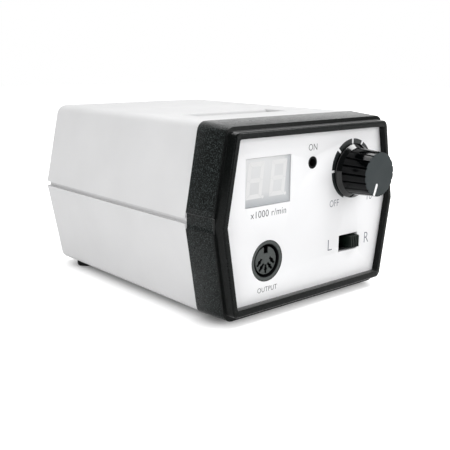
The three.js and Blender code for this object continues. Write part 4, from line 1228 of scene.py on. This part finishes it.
@dataclass(frozen=True)
class SpeedKnob:
    """The fluted knob with its grey cap and white pointer."""

    axis: Axis = Axis.of("speed_knob")
    front: float = depth_of("knob_cap", True)
    back: float = depth_of("speed_knob", False)
    skirt_radius: float = 12.1
    skirt_thickness: float = 1.2
    skirt_edge: float = 0.15
    skirt_steps: int = 3
    skirt_chamfer: float = 0.1
    bevel: float = 1.5
    base_radius: float = 10.45
    front_radius: float = 9.6
    grip_rows: int = 6
    grip_ring: float = 0.8
    cap_thickness: float = 0.3
    cap_edge: float = 0.12
    cap_steps: int = 4
    cap_ring: float = 0.85
    cap_core: float = 0.5
    hollow_radius: float = 8.7
    hollow_depth: float = 3.9
    flutes: int = 18
    flute_depth: float = 0.6
    groove_share: float = 0.26
    pointer_width: float = 1.3
    pointer_inner: float = 4.1
    pointer_depth: float = 0.24
    pointer_angle: float = math.radians(-160.0)
    pointer_steps: int = 6
    slack: float = 0.05
    inlay_gap: float = 0.02
    sides: int = 288

    @property
    def bevel_front(self) -> float:
        """The y where the grip ends and the skirt's bevel begins."""
        return self.back - self.skirt_thickness - self.bevel

    def build(self) -> None:
        """Makes the body, skirt, cap and pointer, and paints the shaft."""
        grip = turned("knob_grip", self.axis, self.grip_profile(), self.sides)
        self.flute(grip, "knob_flutes", KNOB_GLOSS)
        dress(grip, KNOB_GLOSS, "speed_knob", body=Body.KNOB, smooth=40.0)
        skirt = turned("knob_skirt", self.axis, self.skirt_profile(), self.sides)
        dress(skirt, SKIRT_GLOSS, slot="knob_gloss", body=Body.KNOB, smooth=25.0)
        self.cap()
        paint(ALUMINIUM, "pot_shaft")

    def flute(self, piece: Piece, name: str, finish: Finish) -> None:
        """Presses the flutes into the grip or the cap, with a tree of a name and finish."""
        flute_recipe(name, finish).apply(piece, Centre=self.axis.centre(), Count=self.flutes,
                                         Depth=self.flute_depth * MM, Groove_Share=self.groove_share)

    def grip_profile(self) -> list[Point2]:
        """Lists the fluted grip's profile from its front face round to its hollow.

        Returns:
            Points of radius and y.
        """
        front = self.front + self.cap_thickness
        profile = [(0.0, front), (self.front_radius * self.grip_ring, front)]
        for share in (i / self.grip_rows for i in range(self.grip_rows + 1)):
            profile.append((self.front_radius + (self.base_radius - self.front_radius) * share,
                            front + (self.bevel_front - front) * share))
        hollow = self.back - self.hollow_depth
        return profile + [(self.hollow_radius, self.bevel_front), (self.hollow_radius, hollow), (0.0, hollow)]

    def skirt_profile(self) -> list[Point2]:
        """Lists the skirt's radius and y, from its inner edge over the bevel to its back."""
        rim = self.back - self.skirt_thickness - self.slack
        return [(self.hollow_radius, self.bevel_front), (self.base_radius, self.bevel_front),
                *rounded(self.skirt_radius, rim, self.skirt_edge, self.skirt_steps),
                (self.skirt_radius, self.back - self.skirt_chamfer),
                (self.skirt_radius - self.skirt_chamfer, self.back), (self.hollow_radius, self.back)]

    def cap(self) -> None:
        """Makes the cap with its groove, and the pointer in it."""
        front, back = self.front, self.front + self.cap_thickness
        ring = self.front_radius * self.cap_ring
        profile = [(0.0, front), (self.front_radius * self.cap_core, front), (ring, front),
                   *rounded(self.front_radius, front, self.cap_edge, self.cap_steps),
                   (self.front_radius, back), (ring, back), (0.0, back)]
        disc = turned("knob_disc", self.axis, profile, self.sides)
        self.flute(disc, "cap_flutes", KNOB_CAP)
        floor = front + self.pointer_depth
        carve(disc, Draft().prism(self.bar(self.slack, PAST), front - PAST, floor).build("pointer_cutter"))
        dress(disc, KNOB_CAP, "knob_cap", body=Body.KNOB, smooth=28.0)
        bar = Draft().prism(self.bar(0.0, 0.0), front, floor - self.inlay_gap).build("pointer_inlay")
        dress(bar, POINTER_WHITE, "knob_pointer", body=Body.KNOB)

    def bar(self, grow: float, past: float) -> list[Point2]:
        """Outlines the pointer's bar at its angle at rest.

        Args:
            grow: How much wider and longer inwards it is.
            past: How much further out it runs.

        Returns:
            The outline.
        """
        half = self.pointer_width / 2 + grow
        inner = self.pointer_inner - grow + half
        outer = self.front_radius - self.cap_edge + past
        turn = [math.pi * i / self.pointer_steps for i in range(self.pointer_steps + 1)]
        outline = [(-half * math.cos(a), inner - half * math.sin(a)) for a in turn]
        sin, cos = math.sin(self.pointer_angle), math.cos(self.pointer_angle)
        return [(self.axis.x + u * cos + v * sin, self.axis.z - u * sin + v * cos)
                for u, v in (*outline, (half, outer), (-half, outer))]


@dataclass(frozen=True)
class HandpieceSocket:
    """The round five-way socket, its flange sunk into the panel."""

    axis: Axis = Axis.of("socket_shell")
    front: float = depth_of("socket_shell", True)
    rear: float = depth_of("socket_shell", False)
    flange_radius: float = 8.55
    flange_thickness: float = 0.9
    flange_edge: float = 0.3
    flange_steps: int = 5
    shade_ring_radius: float = 8.74
    shade_ring_gap: float = 0.01
    shade_ring_slope: Point2 = (0.12, 0.02)
    barrel_radius: float = 7.9
    bore_radius: float = 7.1
    bore_depth: float = 10.0
    bore_chamfer: float = 0.2
    insert_front: float = depth_of("socket_insert", True)
    insert_rear: float = depth_of("socket_insert", False)
    insert_radius: float = 5.85
    insert_edge: float = 0.1
    insert_steps: int = 3
    key_width: float = 2.4
    key_depth: float = 2.8
    contacts: int = 5
    contact_step: float = math.radians(41.5)
    contact_circle: float = 3.55
    slot_half: float = 1.95
    slot_width: float = 1.15
    slot_depth: float = 8.0
    eye_radius: float = 0.92
    eye_steps: int = 8
    face_thickness: float = 0.35
    shade_sleeve_wall: float = 0.12
    lining_foot: float = 0.15
    lining_front: float = 0.25
    core_gap: float = 0.05
    sides: int = 96

    def build(self) -> None:
        """Makes the flanged shell, with a black sleeve in its bore and a black ring in the gap round its
        flange, both painted shade, and the insert, and paints the nut.
        """
        front, seat, floor = self.front, self.front + self.flange_thickness, self.front + self.bore_depth
        throat = self.insert_radius + self.insert_edge
        shell = [(self.bore_radius, floor), (self.bore_radius, front + self.bore_chamfer),
                 (self.bore_radius + self.bore_chamfer, front),
                 *rounded(self.flange_radius, front, self.flange_edge, self.flange_steps),
                 (self.flange_radius, seat), (self.barrel_radius, seat), (self.barrel_radius, self.rear),
                 (throat, self.rear), (throat, floor)]
        dress(turned("socket_ring", self.axis, shell, self.sides), SOCKET_GREY, "socket_shell", smooth=50.0)
        # Painted shade: a black sleeve lines the bore, so the deep ring between shell and insert looks black.
        inner = self.bore_radius - self.shade_sleeve_wall
        foot = self.insert_radius + self.lining_foot
        lip = front + self.lining_front
        sleeve = [(self.bore_radius, lip), (inner, lip), (inner, floor - self.shade_sleeve_wall),
                  (foot, floor - self.shade_sleeve_wall), (foot, floor), (self.bore_radius, floor)]
        # Painted shade: a black ring fills the gap round the flange, standing in for the gap's shadow.
        edge = self.flange_radius + self.shade_ring_gap
        shade_ring = [(edge, front + self.shade_ring_slope[0]), (self.shade_ring_radius, front + self.shade_ring_slope[1]),
                (self.shade_ring_radius, seat), (edge, seat)]
        for name, profile in (("socket_lining", sleeve), ("socket_seal", shade_ring)):
            dress(turned(name, self.axis, profile, self.sides), BLACK_PART)
        self.insert()
        paint(STEEL, "socket_nut")

    def insert(self) -> None:
        """Makes the insert with its key notch and contact slots."""
        front, rear, back = self.insert_front, self.insert_rear, self.insert_front + self.face_thickness
        radius = self.insert_radius - self.core_gap
        face = [(0.0, front), *rounded(self.insert_radius, front, self.insert_edge, self.insert_steps),
                (self.insert_radius, back), (0.0, back)]
        # Painted shade: a thin grey face over a black core, so the insert's slots, notch and sides look black
        # inside.
        core = [(0.0, back), (radius, back), (radius, rear), (0.0, rear)]
        for name, profile, finish in (("socket_face", face, SOCKET_GREY), ("socket_core", core, BLACK_PART)):
            body = turned(name, self.axis, profile, self.sides)
            carve(body, self.notch())
            carve(body, self.slots())
            dress(body, finish, "socket_insert", smooth=40.0)

    def notch(self) -> Piece:
        """Makes the cutter of the key notch.

        Returns:
            The cutter.
        """
        x, top, half = self.axis.x, self.axis.z + self.insert_radius, self.key_width / 2
        return Draft().box((x - half, self.insert_front - PAST, top - self.key_depth),
                           (x + half, self.insert_front + self.slot_depth, top + PAST)).build("notch_cutter")

    def slots(self) -> Piece:
        """Makes the cutter of the contact slots.

        Returns:
            The cutter, one solid for each slot.
        """
        outline = [(self.axis.x + u, self.axis.z - self.contact_circle + v) for u, v in self.eyed_slot()]
        slot = Draft().prism(outline, self.insert_front - PAST, self.insert_front + self.slot_depth)
        return ring_recipe("slots_in_a_ring", SOCKET_GREY).apply(
            slot.build("slot_cutter"), Count=self.contacts, Step_Angle=self.contact_step,
            Start_Angle=-(self.contacts - 1) / 2 * self.contact_step, Centre=self.axis.centre(),
            Arm=(0.0, 0.0, -self.contact_circle * MM), Lean=self.contact_step)

    def eyed_slot(self) -> list[Point2]:
        """Outlines a slot along z with a round eye in its middle.

        Returns:
            The outline.
        """
        half = self.slot_width / 2
        angle = math.atan2(math.sqrt(self.eye_radius ** 2 - half ** 2), half)
        turn = [-angle + 2 * angle * i / self.eye_steps for i in range(self.eye_steps + 1)]
        eye = [(self.eye_radius * math.cos(a), self.eye_radius * math.sin(a)) for a in turn]
        right = [(half, -self.slot_half), *eye, (half, self.slot_half)]
        return right + [(-x, z) for x, z in reversed(right)]


@dataclass(frozen=True)
class SlideSwitch:
    """A slide switch behind a panel, with ribs across its slider."""

    name: str
    body: Body
    faces_front: bool
    ribs: int = 5
    rib_share: float = 0.55
    rib_height: float = 0.45
    rib_foot: float = 0.1
    edge: float = 0.12

    def build(self) -> None:
        """Makes the slider and dresses the parts behind it."""
        node = f"{self.name}_slider"
        low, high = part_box(node)
        axis = Axis.of(node)
        half_x, half_z = (high.x - low.x) / MM / 2, (high.z - low.z) / MM / 2
        outer, inner = (depth_of(node, end) for end in (self.faces_front, not self.faces_front))
        inward = math.copysign(1.0, inner - outer)
        seat = outer + inward * self.rib_height
        block = Draft().box((axis.x - half_x, min(seat, inner), axis.z - half_z),
                            (axis.x + half_x, max(seat, inner), axis.z + half_z)).build(f"{self.name}_block")
        soften(block, self.edge)
        dress(block, SLIDER_BLACK, node, body=self.body)
        pitch = 2 * half_x / self.ribs
        rib_half = pitch * self.rib_share / 2
        first = axis.x - half_x + pitch / 2
        foot = seat + inward * self.rib_foot
        reach = half_z - self.edge
        piece = Draft().box((first - rib_half, min(outer, foot), axis.z - reach),
                            (first + rib_half, max(outer, foot), axis.z + reach)).build(f"{self.name}_ribs")
        soften(piece, self.edge)
        row = row_recipe(f"{self.name}_rib_row", SLIDER_BLACK)
        row.apply(piece, Count=self.ribs, Step=(pitch * MM, 0.0, 0.0))
        dress(piece, SLIDER_BLACK, body=self.body)
        paint(BLACK_PART, f"{self.name}_body")
        paint(STEEL, f"{self.name}_frame")


@dataclass(frozen=True)
class RearPanel:
    """The rear panel and what is mounted in it."""

    panel_edge: float = 0.15
    edge: float = 0.25
    nut_edge: float = 0.2
    cap_edge: float = 0.12
    knurl_count: int = 28
    knurl_radius: float = 0.28
    knurl_height: float = 0.6
    knurl_sides: int = 6
    knurl_gaps: Point2 = (0.6, 0.9)

    def build(self) -> None:
        """Makes the panel, inlet, fuse holder and pedal socket."""
        refine("rear_panel", WHITE_REAR, self.panel_edge, slot="white_case")
        for node in ("mains_inlet", "pedal_socket", "fuse_holder"):
            refine(node, BLACK_PART, self.edge)
        refine("pedal_socket_nut", STEEL, self.nut_edge)
        self.fuse_cap()
        paint(BRASS, "inlet_pin_left", "inlet_pin_right")
        paint(BLACK_PART, "fuse_nut")
        paint(FUSE_GLASS, "glass_fuse")

    def fuse_cap(self) -> None:
        """Makes the fuse cap and the knurls round it."""
        refine("fuse_cap", BLACK_PART, self.cap_edge, body=Body.FUSE)
        axis = Axis.of("fuse_cap")
        low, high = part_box("fuse_cap")
        flat = self.knurl_radius * self.knurl_height
        reach = (high.x - low.x) / 2 / MM - flat
        turn = [FULL_TURN * i / self.knurl_sides for i in range(self.knurl_sides)]
        knurl = [(axis.x + self.knurl_radius * math.cos(a), axis.z + reach + flat * math.sin(a))
                 for a in turn]
        front = depth_of("fuse_holder", False) + self.knurl_gaps[0]
        rear = depth_of("fuse_cap", False) - self.knurl_gaps[1]
        piece = Draft().prism(knurl, front, rear).build("fuse_cap_knurls")
        ring_recipe("knurls_in_a_ring", BLACK_PART).apply(
            piece, Count=self.knurl_count, Start_Angle=0.0, Step_Angle=FULL_TURN / self.knurl_count,
            Centre=axis.centre(), Arm=(0.0, 0.0, reach * MM), Lean=FULL_TURN)
        dress(piece, BLACK_PART, body=Body.FUSE)


@dataclass(frozen=True)
class Interior:
    """What the closed case hides: only finishes."""

    steel: tuple[str, ...] = ("pot_body", "pot_washer", "pot_nut", "transformer_strap",
                              "transformer_screw_left", "transformer_screw_right", "board_screw_1",
                              "board_screw_2")
    black: tuple[str, ...] = ("pot_switch", "power_transistor", "filter_capacitor", "output_capacitor",
                              "bridge_rectifier")

    def build(self) -> None:
        """Paints the hidden nodes."""
        paint(STEEL, *self.steel)
        paint(BLACK_PART, *self.black)
        paint(LAMINATIONS, "transformer_core")
        paint(TAPE, "transformer_coil")
        paint(BOARD, "control_board")
        paint(ALUMINIUM, "heatsink")
        paint(SOCKET_GREY, "terminal_block")


@dataclass(frozen=True)
class Lamp:
    """A flat lamp: its place and size in metres, its turn in degrees and its power in watts."""

    name: str
    place: Point3
    size: Point2
    turn: float
    power: float

    def build(self, target: Point3) -> None:
        """Hangs the lamp.

        Args:
            target: The point that it faces, in metres.
        """
        light = bpy.data.lights.new(self.name, "AREA")
        light.shape = "RECTANGLE"
        light.size, light.size_y = self.size
        light.energy = self.power
        holder = linked(self.name, light)
        holder.location = self.place
        aim = (Vector(target) - Vector(self.place)).to_track_quat("-Z", "Y").to_matrix()
        holder.rotation_euler = (aim @ Matrix.Rotation(math.radians(self.turn), 3, "Z")).to_euler()


@dataclass(frozen=True)
class Studio:
    """The view, the floor and the soft light."""

    position: Point3 = (-0.23017, -0.26841, 0.10702)
    yaw: float = math.radians(41.108)
    pitch: float = math.radians(-13.059)
    roll: float = math.radians(0.420)
    focal_pixels: float = 735.67
    frame_pixels: int = 450
    sensor: float = 36.0
    nearest: float = 0.01
    floor_half: float = 2.0
    floor_white: float = 0.80
    floor_lift: float = 0.8
    mirrored_lift: float = 0.3
    foot_inset: float = 0.015
    shadow_reach: float = 0.020
    ambient: float = 0.335
    room: float = 0.08
    backdrop: Point2 = (0.64, 0.73)
    backdrop_edge: float = 0.7
    target: Point3 = (0.0, 0.0, 0.04)
    lamps: tuple[Lamp, ...] = (
        Lamp("lamp_back", (0.14, 0.68, 1.14), (1.2, 0.2), 10.0, 5.6),
        Lamp("lamp_above", (0.55, -0.52, 1.13), (0.9, 0.16), -27.0, 6.2),
        Lamp("lamp_front", (0.40, -1.15, 0.35), (1.2, 1.0), 0.0, 9.1),
        Lamp("lamp_left", (-1.05, -0.30, 0.16), (0.8, 0.8), 0.0, 6.4),
    )

    def build(self) -> None:
        """Sets the view, floor, world and lamps."""
        self.camera()
        self.floor()
        self.world()
        for lamp in self.lamps:
            lamp.build(self.target)
        bpy.context.scene.view_settings.view_transform = "Standard"

    def camera(self) -> None:
        """Puts the camera where the photograph was taken."""
        ahead = Vector((math.sin(self.yaw), math.cos(self.yaw), 0.0)) * math.cos(self.pitch)
        forward = ahead + Vector((0.0, 0.0, math.sin(self.pitch)))
        level = forward.cross(Vector((0.0, 0.0, 1.0))).normalized()
        upright = level.cross(forward)
        right = level * math.cos(self.roll) + upright * math.sin(self.roll)
        up = upright * math.cos(self.roll) - level * math.sin(self.roll)
        lens = bpy.data.cameras.new("photograph")
        lens.sensor_width = self.sensor
        lens.lens = self.focal_pixels / self.frame_pixels * self.sensor
        lens.clip_start = self.nearest
        holder = linked("photograph", lens)
        turn = Matrix((right, up, -forward)).transposed().to_4x4()
        holder.matrix_world = Matrix.Translation(self.position) @ turn
        bpy.context.scene.camera = holder

    def floor(self) -> None:
        """Lays a pale floor that keeps the object's shadow, is white further out and clear from below."""
        half = self.floor_half
        mesh = bpy.data.meshes.new("floor")
        corners = [(-half, -half, 0.0), (half, -half, 0.0), (half, half, 0.0), (-half, half, 0.0)]
        mesh.from_pydata(corners, [], [(0, 1, 2, 3)])
        material = bpy.data.materials.new("pale_floor")
        material.use_nodes = True
        material.node_tree.nodes.clear()
        nodes = Nodes(material.node_tree)
        white = self.floor_white
        diffuse = nodes.add("ShaderNodeBsdfDiffuse", Color=(white, white, white, 1.0)).outputs[0]
        path = nodes.add("ShaderNodeLightPath").outputs
        shown = nodes.math("MAXIMUM", path["Is Camera Ray"], path["Is Transmission Ray"])
        lift = nodes.math("MAXIMUM", nodes.math("MULTIPLY", shown, self.floor_lift),
                          nodes.math("MULTIPLY", path["Is Glossy Ray"], self.mirrored_lift))
        strength = nodes.math("MULTIPLY", lift, self.clear_of_object(nodes))
        glow = nodes.add("ShaderNodeEmission", Strength=strength)
        both = nodes.add("ShaderNodeAddShader", diffuse, glow.outputs[0]).outputs[0]
        behind = nodes.add("ShaderNodeNewGeometry").outputs["Backfacing"]
        clear = nodes.add("ShaderNodeBsdfTransparent").outputs[0]
        sided = nodes.add("ShaderNodeMixShader", behind, both, clear).outputs[0]
        nodes.add("ShaderNodeOutputMaterial", Surface=sided)
        mesh.materials.append(material)
        linked("floor", mesh)

    def clear_of_object(self, nodes: Nodes) -> Socket:
        """Adds how far a point of the floor lies from the object's shadow.

        Args:
            nodes: The floor's node tree.

        Returns:
            The socket that gives 0 under the object, growing to 1 where its shadow ends.
        """
        x, y, _ = nodes.split(nodes.add("ShaderNodeTexCoord").outputs["Object"])
        low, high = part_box("lower_shell")
        past = []
        for value, start, end in ((x, low.x, high.x), (y, RIM_FRONT, high.y)):
            apart = nodes.math("ABSOLUTE", nodes.math("SUBTRACT", value, (start + end) / 2))
            over = nodes.math("SUBTRACT", apart, (end - start) / 2 - self.foot_inset)
            past.append(nodes.math("POWER", nodes.math("MAXIMUM", over, 0.0), 2.0))
        return nodes.eased(nodes.math("SQRT", nodes.math("ADD", *past)), 0.0, self.shadow_reach)

    def world(self) -> None:
        """Lights the object from all round, with a white backdrop behind it and a dimmer room before it."""
        world = bpy.data.worlds.new("backdrop")
        world.use_nodes = True
        nodes = Nodes(world.node_tree)
        path = nodes.add("ShaderNodeLightPath").outputs
        x, y, _ = nodes.split(nodes.add("ShaderNodeTexCoord").outputs["Generated"])
        towards = nodes.math("ADD", nodes.math("MULTIPLY", x, self.backdrop[0]),
                             nodes.math("MULTIPLY", y, self.backdrop[1]))
        backdrop = nodes.eased(towards, 0.0, self.backdrop_edge, self.room, 1.0)
        shown = nodes.math("MAXIMUM", path["Is Camera Ray"], path["Is Transmission Ray"])
        mirrored = nodes.math("MULTIPLY", path["Is Glossy Ray"], backdrop)
        strength = nodes.math("MAXIMUM", nodes.math("MAXIMUM", shown, mirrored),
                              nodes.math("MULTIPLY", path["Is Diffuse Ray"], self.ambient))
        background = world.node_tree.nodes["Background"].inputs
        nodes.feed(background["Color"], (1.0, 1.0, 1.0, 1.0))
        nodes.feed(background["Strength"], strength)
        bpy.context.scene.world = world


def main() -> None:
    """Builds the studio and each sub-assembly in order."""
    logging.basicConfig(level=logging.INFO, format="%(name)s: %(message)s")
    switches = (SlideSwitch("direction_switch", Body.DIRECTION, True),
                SlideSwitch("pedal_switch", Body.PEDAL, False))
    for part in (Studio(), Case(), Bezel(), FrontPanel(), Display(), PilotLight(), SpeedKnob(),
                 HandpieceSocket(), *switches, RearPanel(), Interior()):
        part.build()


if __name__ == "__main__":
    main()
